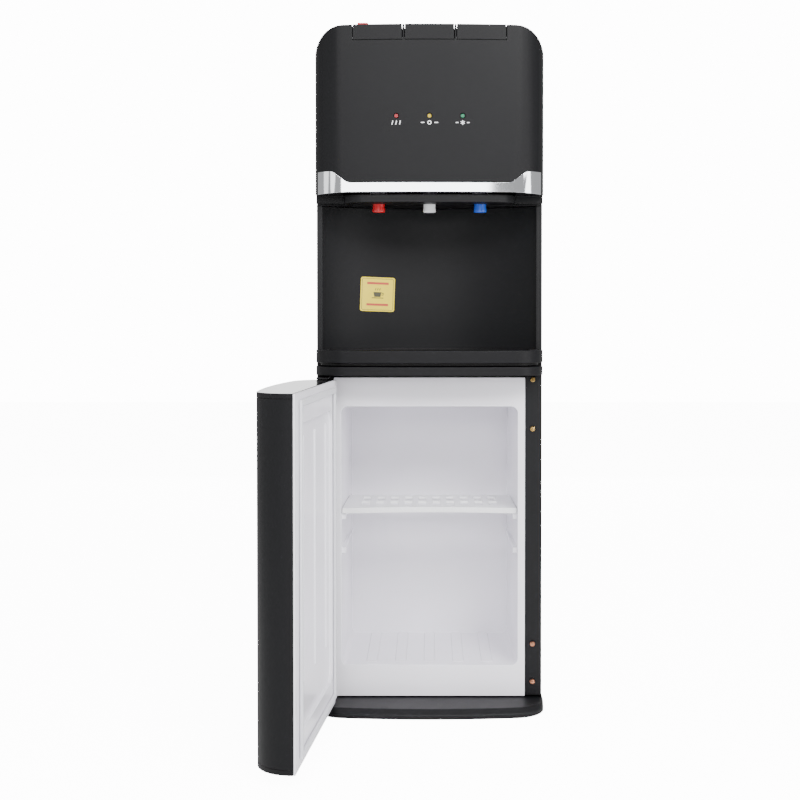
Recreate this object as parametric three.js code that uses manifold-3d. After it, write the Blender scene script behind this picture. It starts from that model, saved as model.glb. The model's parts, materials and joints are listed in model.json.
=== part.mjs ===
// A floor-standing, top-loading water dispenser with three taps and a storage cabinet below.
// Millimetres, +Z up, front facing -Y, +X to the right. The origin is the centre of the
// footprint on the floor. The door is modelled closed and then swung open about its hinge.

import * as THREE from 'three';
import { mergeVertices } from 'three/addons/utils/BufferGeometryUtils.js';
import Module from 'manifold-3d';

const wasm = await Module();
wasm.setup();

// ---------------------------------------------------------------- driving dimensions

const BODY_WIDTH = 309;          // over the side panels
const FRONT_Y = -165;            // middle of the bowed front
const BACK_Y = 160;
const BODY_HEIGHT = 925;
const CABINET_FACE_Y = -100;     // plane that the door closes against
const CORNER_RADIUS = 44;        // front corners, seen from above
const FRONT_RADIUS = 1000;       // bow of the front, seen from above
const GAP = 0.3;                 // between touching pieces
const REVEAL = 0.8;              // between a moving piece and its surround

const PLINTH_HEIGHT = 12.5;
const PLINTH_OVERHANG = 1.7;     // plinth past the side panels
const PLINTH_LIP_SETBACK = 8;    // top edge of the plinth behind its foot

const CABINET_TOP = 456;
const LEDGE_TOP = 471;           // fixed ledge under the drip tray
const LEDGE_SETBACK = 4;         // ledge and tray behind the front of the head
const TRAY_TOP = 493;
const ALCOVE_TOP = 689.5;        // top of the splash panel
const HEAD_BOTTOM = 692;         // head = the upper housing
const SHEET = 1.5;               // steel panels
const SHELL = 2.6;               // moulded housings

const FLANGE_WIDTH = 22.5;       // folded front edge of a side panel beside the cabinet
const FLANGE_WIDTH_UPPER = 8;    // the same beside the splash panel
const REAR_FLANGE = 10;

const LINER_CLEARANCE = 0.5;     // between the liner and each side panel's fold
const LINER_WIDTH = BODY_WIDTH - 2 * (FLANGE_WIDTH + LINER_CLEARANCE);
const LINER_BOTTOM = 14;
const CAVITY_BORDER = 10;        // liner face beside the cavity
const CAVITY_WIDTH = LINER_WIDTH - 2 * CAVITY_BORDER;
const CAVITY_BOTTOM = 57;
const CAVITY_TOP = 414.5;
const CAVITY_DEPTH = 190;
const CAVITY_DRAFT = 4;          // each side, over the full depth
const CAVITY_RADIUS = 9;
const LINER_WALL = 2.5;
const FLOOR_RIBS = 5;
const FLOOR_RIB_PITCH = 40;
const FLOOR_RIB_WIDTH = 15;
const RAIL_HEIGHT = 8;
const RAIL_WIDTH = 6;
const UPPER_RAIL_TOP = 265;
const LOWER_RAIL_TOP = 218;

const SHELF_TOP = 273;
const SHELF_DEPTH = 137;
const SHELF_PLATE = 3;
const SHELF_LIP = 7.4;
const SHELF_SLOTS = 10;
const SHELF_SLOT_PITCH = 20;
const SHELF_SLOT_WIDTH = 11.5;
const SHELF_SLOT_LENGTH = 33;
const SHELF_ROW_START = 36;       // first row of slots behind the front corners
const SHELF_ROW_GAP = 14;
const SHELF_BOW = 12;            // the front edge is hollowed by this much

const DOOR_BOTTOM = 15.3;
const DOOR_TOP = 452.9;
const DOOR_BACK_Y = -106;
const DOOR_CAP = 6;
const DOOR_SKIN = 2.5;
const DOOR_WIDTH = BODY_WIDTH - 2;
const GASKET_DEPTH = 4;
const GASKET_WIDTH = 8;
const LINER_BORDER = 36;         // flat rim round the door's pressed inner panel
const LINER_CORNER = 22;
const LINER_RECESS = 4;
const DOOR_OPEN_DEG = 95;
const HINGE_INSET = 6;           // hinge axis from the side of the body
const HINGE_X = HINGE_INSET - BODY_WIDTH / 2;
const HINGE_Y = -128;
const HINGE_PIN_RADIUS = 3;
const HINGE_BORE_RADIUS = 3.3;
const BRACKET_THICKNESS = 2.5;

const KEY_PITCH = 69;            // spacing of the three keys and of the three taps
const KEY_WIDTH = 65;
const KEY_HEIGHT = 20;
const KEY_DEPTH = 29;
const KEY_SHELL = 2.5;
const LOCK_PROUD = 3.2;          // child lock above the hot key
const KEY_ROD_Y = -155;
const KEY_ROD_RISE = 3;          // rod above the lower edge of the keys
const KEY_ROD_Z = BODY_HEIGHT - KEY_HEIGHT + KEY_ROD_RISE;
const KEY_ROD_RADIUS = 1.5;
const PUSH_ROD_Y = -139.5;
const PUSH_ROD_RADIUS = 2.2;
const HEAD_TOP_RADIUS = 40;      // upper corners, seen from the front

const NOZZLE_RADIUS = 8.8;
const NOZZLE_BOTTOM = 680;
const TAP_Y = -110;
const LAMP_PITCH = 44;
const LAMP_Z = 804;
const LAMP_RADIUS = 2.5;
const LAMP_BEZEL_RADIUS = 3.25;
const LAMP_BOARD_Y = -149;

const TRIM_BOTTOM = 703.7;
const TRIM_TOP = 716.2;
const TRIM_END_TOP = 731.8;
const TRIM_END_BOTTOM = 701.9;
const TRIM_HALF_WIDTH = BODY_WIDTH / 2 - 4.7;   // a dark rim of the housing shows beyond each end
const TRIM_ROUND = 5;            // rounding where the slopes meet the straight edges
const TRIM_SLOPE_OUTER = BODY_WIDTH / 2 - 25.5;
const TRIM_SLOPE_INNER = TRIM_SLOPE_OUTER - 20;
const TRIM_PROUD = 1.2;
const TRIM_END_Y = -128;
const LIP_HALF_WIDTH = 115;      // lip under the trim that carries the taps
const LIP_SETBACK = 6;
const LIP_INSET = 16;
const LIP_BOTTOM = 690.5;
const LIP_TOP = 701;

const WELL_RADIUS = 118;         // recess in the top that takes the bottle's shoulder
const WELL_Y = 28;
const WELL_FLOOR = 893;
const WELL_THROAT_RADIUS = 36;
const TANK_RADIUS = 72;
const TANK_TOP = 862;
const TANK_BOTTOM = 742;
const TANK_WALL = 1.5;
const FOAM = 14;
const HOT_TANK_RADIUS = 50;
const HOT_TANK_TOP = 650;
const HOT_TANK_BOTTOM = 530;
const HOT_TANK_Y = 62;

const SCREW_INSET = 12.5;        // screws in the right panel's fold, from its side
const SCREW_X = BODY_WIDTH / 2 - SCREW_INSET;
const SCREW_HEIGHTS = [451.9, 384, 87, 35];
const SCREW_HEAD_RADIUS = 3.7;
const SCREW_SHANK_RADIUS = 1.9;
const SCREW_CROSS_LENGTH = 5.2;
const SCREW_CROSS_WIDTH = 1.2;

const FAN_Z = 800;
const FAN_RADIUS = 38;
const FAN_SLOT_PITCH = 10;
const FAN_SLOT_HEIGHT = 6;
const REAR_PANEL_TOP = 882;
const LOUVRES = 8;
const LOUVRE_PITCH = 14;
const LOUVRE_HEIGHT = 5;
const LOUVRE_LENGTH = 120;
const LOUVRE_BOTTOM = 120;
const SWITCH_X = 95;
const SWITCH_Z = 600;
const SWITCH_PITCH = 30;
const SWITCH_WINDOW_HALF = 16;
const DRAIN_X = -40;
const DRAIN_Z = 515;
const DRAIN_RADIUS = 9;
const GLAND_X = 95;
const GLAND_Z = 480;
const GLAND_RADIUS = 6;

const LOCK_HALF_WIDTH = 7;
const LOCK_LENGTH = 9;
const LOCK_TRAVEL = 3;
const LOCK_SETBACK = 9.5;        // child lock behind the front of the head
const LOCK_OFFSET = 13;          // child lock from the hot key's outer side
const TAP_TOP = 731;
const LINER_PLATE = 2.5;
const SPLASH_DEPTH = 65;   // hollow of the splash panel in the middle
const GRILLE_THICKNESS = 2.5;
const TAP_INLET_Y = -72;
const TAP_INLET_Z = 716;
const COLD_OUTLET_X = 45;
const COLD_OUTLET_Y = 0;
const HOSE_RADIUS = 4;
const MODULE_HALF = 22;        // half the width of the cooling module
const SINK_BACK_Y = 133;
const SINK_PLATE = 4;
const FAN_HALF = 40;           // half the width of the fan frame
const FAN_SWEPT = 36;          // radius that the blades sweep
const HOT_FOAM = 12;
const ROCKER_HALF = 9.5;
const ROCKER_WIDTH = 15;

// ---------------------------------------------------------------- shape helpers

const half = BODY_WIDTH / 2;

// A three.js geometry as a solid that can be joined and cut. A profile may be drawn in
// either direction: a body that comes out inside out is turned the right way.
function solid(geometry) {
  const bare = geometry.clone();
  bare.deleteAttribute('normal');
  bare.deleteAttribute('uv');
  const merged = mergeVertices(bare, 1e-4);
  const vertProperties = new Float32Array(merged.attributes.position.array);
  const triVerts = new Uint32Array(merged.index.array);
  const body = new wasm.Manifold(new wasm.Mesh({ numProp: 3, vertProperties, triVerts }));
  if (body.volume() > 0) {
    return body;
  }
  return new wasm.Manifold(new wasm.Mesh({
    numProp: 3, vertProperties, triVerts: triVerts.slice().reverse(),
  }));
}

// A solid back as a three.js geometry.
function geometryOf(manifold) {
  const mesh = manifold.getMesh();
  const geometry = new THREE.BufferGeometry();
  geometry.setAttribute('position', new THREE.BufferAttribute(mesh.vertProperties, 3));
  geometry.setIndex(new THREE.BufferAttribute(mesh.triVerts, 1));
  geometry.computeVertexNormals();
  return geometry;
}

function union(...solids) {
  return solids.reduce((sum, next) => sum.add(next));
}

// A flat outline in X-Y, raised from z0 to z1.
function upright(shape, z0, z1, curveSegments = 5) {
  const settings = { depth: z1 - z0, bevelEnabled: false, curveSegments };
  return solid(new THREE.ExtrudeGeometry(shape, settings).translate(0, 0, z0));
}

// A flat outline drawn in X-Z, running from y0 to y1.
function lengthwise(shape, y0, y1, curveSegments = 3) {
  const settings = { depth: y1 - y0, bevelEnabled: false, curveSegments };
  const geometry = new THREE.ExtrudeGeometry(shape, settings);
  return solid(geometry.rotateX(Math.PI / 2).translate(0, y1, 0));
}

// A flat outline drawn in Y-Z, running from x0 to x1.
function crosswise(shape, x0, x1, curveSegments = 4) {
  const settings = { depth: x1 - x0, bevelEnabled: false, curveSegments };
  const geometry = new THREE.ExtrudeGeometry(shape, settings);
  return solid(geometry.rotateX(Math.PI / 2).rotateZ(Math.PI / 2).translate(x0, 0, 0));
}

function block(x0, x1, y0, y1, z0, z1) {
  const box = new THREE.BoxGeometry(x1 - x0, y1 - y0, z1 - z0);
  return solid(box.translate((x0 + x1) / 2, (y0 + y1) / 2, (z0 + z1) / 2));
}

// A round bar between two heights, its axis along Z.
function post(radius, x, y, z0, z1, sides = 16) {
  const bar = new THREE.CylinderGeometry(radius, radius, z1 - z0, sides).rotateX(Math.PI / 2);
  return solid(bar.translate(x, y, (z0 + z1) / 2));
}

// A round bar with its axis along Y.
function bar(radius, x, z, y0, y1, sides = 12) {
  const rod = new THREE.CylinderGeometry(radius, radius, y1 - y0, sides);
  return solid(rod.translate(x, (y0 + y1) / 2, z));
}

// The points of a profile to be turned. One that starts off the axis is closed on itself.
function profilePoints(profile) {
  const points = profile.map(([radius, height]) => new THREE.Vector2(radius, height));
  return profile[0][0] > 0 ? [...points, points[0].clone()] : points;
}

// A profile of [radius, z] points turned about a vertical axis at x, y.
function turned(profile, x, y, sides = 24) {
  const points = profilePoints(profile);
  const lathe = new THREE.LatheGeometry(points, sides).rotateX(Math.PI / 2);
  return solid(lathe.translate(x, y, 0));
}

// A profile of [radius, y] points turned about an axis along Y at x, z.
function turnedAlongY(profile, x, z, sides = 20) {
  return solid(new THREE.LatheGeometry(profilePoints(profile), sides).translate(x, 0, z));
}

// Straight-sided outline through the given points.
function polygon(points) {
  return new THREE.Shape(points.map(([u, v]) => new THREE.Vector2(u, v)));
}

function rectangle(u0, u1, v0, v1, radius = 0) {
  if (radius === 0) {
    return polygon([[u0, v0], [u1, v0], [u1, v1], [u0, v1]]);
  }
  const shape = new THREE.Shape();
  shape.moveTo(u0 + radius, v0);
  shape.absarc(u1 - radius, v0 + radius, radius, -Math.PI / 2, 0, false);
  shape.absarc(u1 - radius, v1 - radius, radius, 0, Math.PI / 2, false);
  shape.absarc(u0 + radius, v1 - radius, radius, Math.PI / 2, Math.PI, false);
  shape.absarc(u0 + radius, v0 + radius, radius, Math.PI, Math.PI * 1.5, false);
  return shape;
}

// The family outline from above: a shallow bow in front, round front corners, straight
// sides and back. Inset walls are made by passing a smaller half width and a front further back.
function planOutline(halfWidth, frontY, backY, inset = 0) {
  const cornerRadius = CORNER_RADIUS - inset;
  const bowRadius = FRONT_RADIUS - inset;
  const cornerX = halfWidth - cornerRadius;
  const bowCentreY = frontY + bowRadius;
  const cornerY = bowCentreY - Math.sqrt((bowRadius - cornerRadius) ** 2 - cornerX ** 2);
  const tangent = Math.asin(cornerX / (bowRadius - cornerRadius));
  const down = -Math.PI / 2;
  const shape = new THREE.Shape();
  shape.moveTo(-halfWidth, backY);
  shape.lineTo(-halfWidth, cornerY);
  shape.absarc(-cornerX, cornerY, cornerRadius, -Math.PI, down - tangent, false);
  shape.absarc(0, bowCentreY, bowRadius, down - tangent, down + tangent, false);
  shape.absarc(cornerX, cornerY, cornerRadius, down + tangent, 0, false);
  shape.lineTo(halfWidth, backY);
  return shape;
}

// The same outline raised from z0 to z1 and cut off square at backY, wherever that falls.
function bowed(halfWidth, frontY, backY, inset, z0, z1) {
  const shape = planOutline(halfWidth, frontY, frontY + 2 * FRONT_RADIUS, inset);
  const keep = block(-2 * BODY_WIDTH, 2 * BODY_WIDTH, frontY - 10, backY, z0, z1);
  return upright(shape, z0, z1, 4).intersect(keep);
}

// ---------------------------------------------------------------- the assembly

const dispenser = new THREE.Group();

const finishes = {
  blackAbs: { color: 0x2e2e31, roughness: 0.5, metalness: 0 },
  blackSteel: { color: 0x262629, roughness: 0.45, metalness: 0 },
  greyAbs: { color: 0x4a4a4d, roughness: 0.55, metalness: 0 },
  chrome: { color: 0xdfe2e6, roughness: 0.12, metalness: 1 },
  whiteLiner: { color: 0xe0dee6, roughness: 0.35, metalness: 0 },
  whitePlastic: { color: 0xf1f1f3, roughness: 0.4, metalness: 0 },
  gasket: { color: 0xd9d9de, roughness: 0.7, metalness: 0 },
  red: { color: 0xc62026, roughness: 0.35, metalness: 0 },
  blue: { color: 0x2b62c4, roughness: 0.35, metalness: 0 },
  yellow: { color: 0xe6c81e, roughness: 0.5, metalness: 0 },
  green: { color: 0x1f9c62, roughness: 0.3, metalness: 0 },
  steel: { color: 0xb9bcc0, roughness: 0.3, metalness: 1 },
  brass: { color: 0xc7a55a, roughness: 0.3, metalness: 1 },
  aluminium: { color: 0xc2c5c8, roughness: 0.4, metalness: 1 },
  foam: { color: 0xf4f4ef, roughness: 0.9, metalness: 0 },
  board: { color: 0x1e6a42, roughness: 0.5, metalness: 0 },
  rubber: { color: 0x202022, roughness: 0.8, metalness: 0 },
};

// Names a solid, gives it its finish and hangs it in the assembly or in a moved group.
function addPart(name, manifold, finish, parent = dispenser) {
  const material = new THREE.MeshStandardMaterial(finishes[finish]);
  const mesh = new THREE.Mesh(geometryOf(manifold), material);
  mesh.name = name;
  parent.add(mesh);
  return mesh;
}

// ---------------------------------------------------------------- plinth and panels

// A ring of points along a rounded outline, at one height.
function ringAt(shape, z, segments = 5) {
  return shape.getPoints(segments).map((point) => new THREE.Vector3(point.x, point.y, z));
}

// Joins rings that have the same number of points into one closed body with flat ends.
function loft(rings) {
  const count = rings[0].length;
  const triangles = [];
  for (let level = 0; level + 1 < rings.length; level += 1) {
    for (let i = 0; i < count; i += 1) {
      const next = (i + 1) % count;
      const low = rings[level];
      const high = rings[level + 1];
      triangles.push(low[i], low[next], high[next], low[i], high[next], high[i]);
    }
  }
  const flat = rings[0].map((point) => new THREE.Vector2(point.x, point.y));
  const bottom = rings[0];
  const top = rings[rings.length - 1];
  for (const [a, b, c] of THREE.ShapeUtils.triangulateShape(flat, [])) {
    triangles.push(bottom[a], bottom[c], bottom[b], top[a], top[b], top[c]);
  }
  return solid(new THREE.BufferGeometry().setFromPoints(triangles));
}

function makePlinth() {
  const halfWidth = half + PLINTH_OVERHANG;
  const foot = planOutline(halfWidth, FRONT_Y, BACK_Y);
  const lip = planOutline(halfWidth, FRONT_Y + PLINTH_LIP_SETBACK, BACK_Y);
  const waist = PLINTH_HEIGHT / 2;
  return loft([ringAt(foot, 0), ringAt(foot, waist), ringAt(lip, PLINTH_HEIGHT)]);
}

addPart('base_plinth', makePlinth(), 'greyAbs');

const panelBottom = PLINTH_HEIGHT + GAP;
const panelTop = HEAD_BOTTOM - GAP;

// A folded steel side panel. side is -1 on the left and +1 on the right.
function makeSidePanel(side) {
  const outer = side * half;
  const inner = side * (half - SHEET);
  const wall = [Math.min(outer, inner), Math.max(outer, inner)];
  const foldX = (width) => {
    const edge = side * (half - width);
    return [Math.min(outer, edge), Math.max(outer, edge)];
  };
  const front = [CABINET_FACE_Y, CABINET_FACE_Y + SHEET];
  const rear = [BACK_Y - 2 * SHEET, BACK_Y - SHEET];
  const flangeBottom = PLINTH_HEIGHT + 3;
  return union(
    block(...wall, CABINET_FACE_Y, BACK_Y - SHEET, panelBottom, panelTop),
    block(...foldX(FLANGE_WIDTH), ...front, flangeBottom, CABINET_TOP),
    block(...foldX(FLANGE_WIDTH_UPPER), ...front, flangeBottom, panelTop),
    block(...foldX(REAR_FLANGE), ...rear, panelBottom, panelTop),
  );
}


// The cross-headed screws that hold the right flange to the liner.
function makeFlangeScrew(z) {
  const headBack = CABINET_FACE_Y - GAP;
  const long = SCREW_CROSS_LENGTH / 2;
  const narrow = SCREW_CROSS_WIDTH / 2;
  const recess = union(
    block(SCREW_X - long, SCREW_X + long, headBack - 3, headBack - 1.2, z - narrow, z + narrow),
    block(SCREW_X - narrow, SCREW_X + narrow, headBack - 3, headBack - 1.2, z - long, z + long),
  );
  const head = bar(SCREW_HEAD_RADIUS, SCREW_X, z, headBack - 2.2, headBack, 12);
  const shank = bar(SCREW_SHANK_RADIUS, SCREW_X, z, headBack - 0.1, CABINET_FACE_Y + 8, 10);
  return head.subtract(recess).add(shank);
}

function drillFlange(panel) {
  const bores = SCREW_HEIGHTS.map((z) => (
    bar(SCREW_SHANK_RADIUS + GAP, SCREW_X, z, CABINET_FACE_Y - 1, CABINET_FACE_Y + 3, 10)
  ));
  return panel.subtract(union(...bores));
}

addPart('side_panel_left', makeSidePanel(-1), 'blackSteel');
addPart('side_panel_right', drillFlange(makeSidePanel(1)), 'blackSteel');
SCREW_HEIGHTS.forEach((z, index) => {
  addPart(`flange_screw_${index + 1}`, makeFlangeScrew(z), 'brass');
});

// ---------------------------------------------------------------- rear panel

const rearPanelInset = GAP + 0.2;

function makeRearPanel() {
  const halfWidth = half - rearPanelInset;
  const sheet = block(
    -halfWidth, halfWidth, BACK_Y - SHEET + GAP, BACK_Y, panelBottom, REAR_PANEL_TOP,
  );
  const louvres = [];
  const reachX = LOUVRE_LENGTH / 2;
  for (let row = 0; row < LOUVRES; row += 1) {
    const z = LOUVRE_BOTTOM + row * LOUVRE_PITCH;
    louvres.push(block(-reachX, reachX, BACK_Y - 3, BACK_Y + 3, z, z + LOUVRE_HEIGHT));
  }
  const fanRows = Math.floor(FAN_RADIUS / FAN_SLOT_PITCH);
  for (let row = -fanRows; row <= fanRows; row += 1) {
    const z = FAN_Z + row * FAN_SLOT_PITCH;
    const reach = Math.sqrt(FAN_RADIUS ** 2 - (row * FAN_SLOT_PITCH) ** 2);
    const slotHalf = FAN_SLOT_HEIGHT / 2;
    louvres.push(block(-reach, reach, BACK_Y - 3, BACK_Y + 3, z - slotHalf, z + slotHalf));
  }
  const openings = union(
    ...louvres,
    block(
      SWITCH_X - SWITCH_WINDOW_HALF, SWITCH_X + SWITCH_WINDOW_HALF, BACK_Y - 3, BACK_Y + 3,
      SWITCH_Z - 2 * SWITCH_WINDOW_HALF, SWITCH_Z + 2 * SWITCH_WINDOW_HALF,
    ),
    bar(DRAIN_RADIUS + 1, DRAIN_X, DRAIN_Z, BACK_Y - 3, BACK_Y + 3),
    bar(GLAND_RADIUS + GAP, GLAND_X, GLAND_Z, BACK_Y - 3, BACK_Y + 3),
  );
  return sheet.subtract(openings);
}

addPart('rear_panel', makeRearPanel(), 'blackSteel');

// ---------------------------------------------------------------- cabinet liner and shelf

// A rounded rectangle in X-Z at depth y, as a ring of points ordered for a loft along +Y.
function cavityRing(y, grow, segments = 2) {
  const share = (y - CABINET_FACE_Y) / CAVITY_DEPTH;
  const halfWidth = CAVITY_WIDTH / 2 - CAVITY_DRAFT * share + grow;
  const top = CAVITY_TOP - CAVITY_DRAFT * share + grow;
  const shape = rectangle(
    -halfWidth, halfWidth, CAVITY_BOTTOM - grow, top, CAVITY_RADIUS + grow,
  );
  return shape.getPoints(segments).slice(0, -1).map((point) => (
    new THREE.Vector3(point.x, -point.y, y)
  ));
}

// Lofts X-Z rings along Y: they are lofted along Z and the result is stood up.
function loftAlongY(rings) {
  const turnedRings = rings.map((ring) => ring.slice().reverse());
  const body = geometryOf(loft(turnedRings));
  return solid(body.rotateX(-Math.PI / 2));
}

const cavityBack = CABINET_FACE_Y + CAVITY_DEPTH;

function makeLiner() {
  const faceHalf = LINER_WIDTH / 2;
  const faceBack = CABINET_FACE_Y + LINER_WALL;
  const face = block(
    -faceHalf, faceHalf, CABINET_FACE_Y, faceBack, LINER_BOTTOM, CABINET_TOP - 1.5,
  );
  const tub = loftAlongY([
    cavityRing(CABINET_FACE_Y + 0.5, LINER_WALL),
    cavityRing(cavityBack + LINER_WALL, LINER_WALL),
  ]);
  const cavity = loftAlongY([cavityRing(CABINET_FACE_Y - 2, 0), cavityRing(cavityBack, 0)]);
  const inside = [];
  for (let index = 0; index < FLOOR_RIBS; index += 1) {
    const x = (index - (FLOOR_RIBS - 1) / 2) * FLOOR_RIB_PITCH;
    const rib = rectangle(
      x - FLOOR_RIB_WIDTH / 2, x + FLOOR_RIB_WIDTH / 2,
      CABINET_FACE_Y + 16, cavityBack + 1, FLOOR_RIB_WIDTH / 2 - 0.1,
    );
    inside.push(upright(rib, CAVITY_BOTTOM - 1, CAVITY_BOTTOM + 1.5, 2));
  }
  for (const side of [-1, 1]) {
    for (const top of [UPPER_RAIL_TOP, LOWER_RAIL_TOP]) {
      const wallX = side * (CAVITY_WIDTH / 2 + 1);
      const railX = side * (CAVITY_WIDTH / 2 - RAIL_WIDTH);
      inside.push(block(
        Math.min(wallX, railX), Math.max(wallX, railX),
        CABINET_FACE_Y + 12, cavityBack - 12, top - RAIL_HEIGHT, top,
      ));
    }
  }
  return union(face, tub).subtract(cavity).add(union(...inside));
}

addPart('cabinet_liner', makeLiner(), 'whiteLiner');

const shelfFront = CABINET_FACE_Y + 8;
const shelfBack = shelfFront + SHELF_DEPTH;

function shelfHalfWidth(y) {
  const share = (y - CABINET_FACE_Y) / CAVITY_DEPTH;
  return CAVITY_WIDTH / 2 - CAVITY_DRAFT * share - REVEAL;
}

// Outline of the shelf from above, with its front edge hollowed by an arc.
function shelfOutline(inset) {
  const frontHalf = shelfHalfWidth(shelfFront) - inset;
  const backHalf = shelfHalfWidth(shelfBack) - inset;
  const bow = SHELF_BOW;
  const radius = (frontHalf ** 2 + bow ** 2) / (2 * bow);
  const reach = Math.asin(frontHalf / radius);
  const centreY = shelfFront + inset + bow - radius;
  const shape = new THREE.Shape();
  shape.moveTo(-backHalf, shelfBack - inset);
  shape.lineTo(-frontHalf, shelfFront + inset);
  shape.absarc(0, centreY, radius, Math.PI / 2 + reach, Math.PI / 2 - reach, true);
  shape.lineTo(backHalf, shelfBack - inset);
  return shape;
}

function makeShelf() {
  const skirt = upright(shelfOutline(0), SHELF_TOP - SHELF_LIP, SHELF_TOP);
  const under = upright(shelfOutline(2.5), SHELF_TOP - SHELF_LIP - 1, SHELF_TOP - SHELF_PLATE);
  const slots = [];
  const firstRow = shelfFront + SHELF_ROW_START;
  const rows = [firstRow, firstRow + SHELF_SLOT_LENGTH + SHELF_ROW_GAP];
  for (const rowY of rows) {
    for (let index = 0; index < SHELF_SLOTS; index += 1) {
      const x = (index - (SHELF_SLOTS - 1) / 2) * SHELF_SLOT_PITCH;
      slots.push(block(
        x - SHELF_SLOT_WIDTH / 2, x + SHELF_SLOT_WIDTH / 2,
        rowY, rowY + SHELF_SLOT_LENGTH, SHELF_TOP - SHELF_PLATE - 1, SHELF_TOP + 1,
      ));
    }
  }
  return skirt.subtract(under).subtract(union(...slots));
}

addPart('shelf', makeShelf(), 'whitePlastic');

// ---------------------------------------------------------------- door and its hinges

// The door is drawn closed, inside a group whose origin is the hinge axis, and the group
// is then turned to the resting pose.
const door = new THREE.Group();
door.position.set(HINGE_X, HINGE_Y, 0);
door.rotation.z = THREE.MathUtils.degToRad(-DOOR_OPEN_DEG);
dispenser.add(door);

function addDoorPart(name, manifold, finish) {
  const mesh = addPart(name, manifold, finish, door);
  mesh.geometry.translate(-HINGE_X, -HINGE_Y, 0);
}

const doorHalf = DOOR_WIDTH / 2;
const doorCapTop = DOOR_TOP - DOOR_CAP;
const doorCapBottom = DOOR_BOTTOM + DOOR_CAP;
const doorShellBack = DOOR_BACK_Y - LINER_PLATE - GAP;

function doorSolid(inset, backY, z0, z1) {
  return bowed(doorHalf - inset, FRONT_Y + inset, backY, inset, z0, z1);
}

// Clearance for the hinge pin through the end caps.
function hingeBore() {
  return post(HINGE_BORE_RADIUS, HINGE_X, HINGE_Y, DOOR_BOTTOM - 5, DOOR_TOP + 5);
}

function makeDoorShell() {
  const outer = doorSolid(0, doorShellBack, doorCapBottom + GAP, doorCapTop - GAP);
  const inner = doorSolid(DOOR_SKIN, doorShellBack + 5, doorCapBottom - 5, doorCapTop + 5);
  return outer.subtract(inner);
}

function makeDoorCap(z0, z1, innerFace) {
  const plate = doorSolid(0, doorShellBack, z0, z1);
  const rebate = doorSolid(DOOR_SKIN + GAP, doorShellBack - 3, ...innerFace);
  return plate.add(rebate).subtract(hingeBore());
}

function makeDoorLiner() {
  const back = upright(
    rectangle(-doorHalf, doorHalf, doorShellBack + GAP, DOOR_BACK_Y), DOOR_BOTTOM, DOOR_TOP,
  );
  const panelTopZ = DOOR_TOP - LINER_BORDER;
  const panelBottomZ = DOOR_BOTTOM + LINER_BORDER;
  const panelHalf = doorHalf - LINER_BORDER;
  const raised = lengthwise(
    rectangle(-panelHalf, panelHalf, panelBottomZ, panelTopZ, LINER_CORNER),
    DOOR_BACK_Y - LINER_RECESS - LINER_WALL, DOOR_BACK_Y - 0.1, 4,
  );
  const edge = LINER_WALL;
  const recess = lengthwise(
    rectangle(
      -panelHalf + edge, panelHalf - edge, panelBottomZ + edge, panelTopZ - edge,
      LINER_CORNER - edge,
    ),
    DOOR_BACK_Y - LINER_RECESS, DOOR_BACK_Y + 1, 4,
  );
  const hollow = block(
    HINGE_X - 12, HINGE_X + 8, doorShellBack - 1, DOOR_BACK_Y + 1, DOOR_BOTTOM - 1, DOOR_BOTTOM + 4,
  );
  return union(back, raised).subtract(recess).subtract(hollow);
}

function makeGasket() {
  const outer = { x: LINER_WIDTH / 2 - 3, low: LINER_BOTTOM + 12, high: CABINET_TOP - 12 };
  const frontY = DOOR_BACK_Y + GAP;
  const backY = frontY + GASKET_DEPTH - GAP;
  const ring = lengthwise(rectangle(-outer.x, outer.x, outer.low, outer.high), frontY, backY);
  const hole = lengthwise(
    rectangle(
      -outer.x + GASKET_WIDTH, outer.x - GASKET_WIDTH,
      outer.low + GASKET_WIDTH, outer.high - GASKET_WIDTH,
    ),
    frontY - 1, backY + 1,
  );
  return ring.subtract(hole);
}

addDoorPart('door_shell', makeDoorShell(), 'blackAbs');
addDoorPart('door_top_cap', makeDoorCap(doorCapTop, DOOR_TOP, [doorCapTop - 4, doorCapTop + 1]),
  'blackAbs');
addDoorPart(
  'door_bottom_cap',
  makeDoorCap(DOOR_BOTTOM, doorCapBottom, [doorCapBottom - 1, doorCapBottom + 4]),
  'blackAbs',
);
addDoorPart('door_liner', makeDoorLiner(), 'whiteLiner');
addDoorPart('door_gasket', makeGasket(), 'gasket');

// A hinge: a steel bracket screwed to the side panel's front fold, with a pin that stands
// into the bore of a door cap.
function makeHinge(bracketBottom, pinFrom, pinTo) {
  const bracketTop = bracketBottom + BRACKET_THICKNESS;
  const plate = block(
    -half + 2, HINGE_X + 12, HINGE_Y - 8, CABINET_FACE_Y - GAP, bracketBottom, bracketTop,
  );
  return plate.add(post(HINGE_PIN_RADIUS, HINGE_X, HINGE_Y, pinFrom, pinTo, 12));
}

const upperBracketBottom = DOOR_TOP + REVEAL;
const plateInDoor = DOOR_CAP - 1;
addPart(
  'hinge_upper',
  makeHinge(upperBracketBottom, DOOR_TOP - plateInDoor, upperBracketBottom + 1),
  'steel',
);
addPart(
  'hinge_lower',
  post(HINGE_PIN_RADIUS, HINGE_X, HINGE_Y, PLINTH_HEIGHT + GAP, DOOR_BOTTOM + plateInDoor, 12)
    .add(block(
      -half + 2, HINGE_X + 12, HINGE_Y - 8, CABINET_FACE_Y - GAP,
      PLINTH_HEIGHT + GAP, DOOR_BOTTOM - REVEAL,
    )),
  'steel',
);

// ---------------------------------------------------------------- ledge, tray and splash panel

const splashHalf = half - SHEET - GAP;
const splashRadius = (splashHalf ** 2 + SPLASH_DEPTH ** 2) / (2 * SPLASH_DEPTH);
const splashCentreY = CABINET_FACE_Y + SPLASH_DEPTH - splashRadius;
const splashReach = Math.asin(splashHalf / splashRadius);

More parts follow.
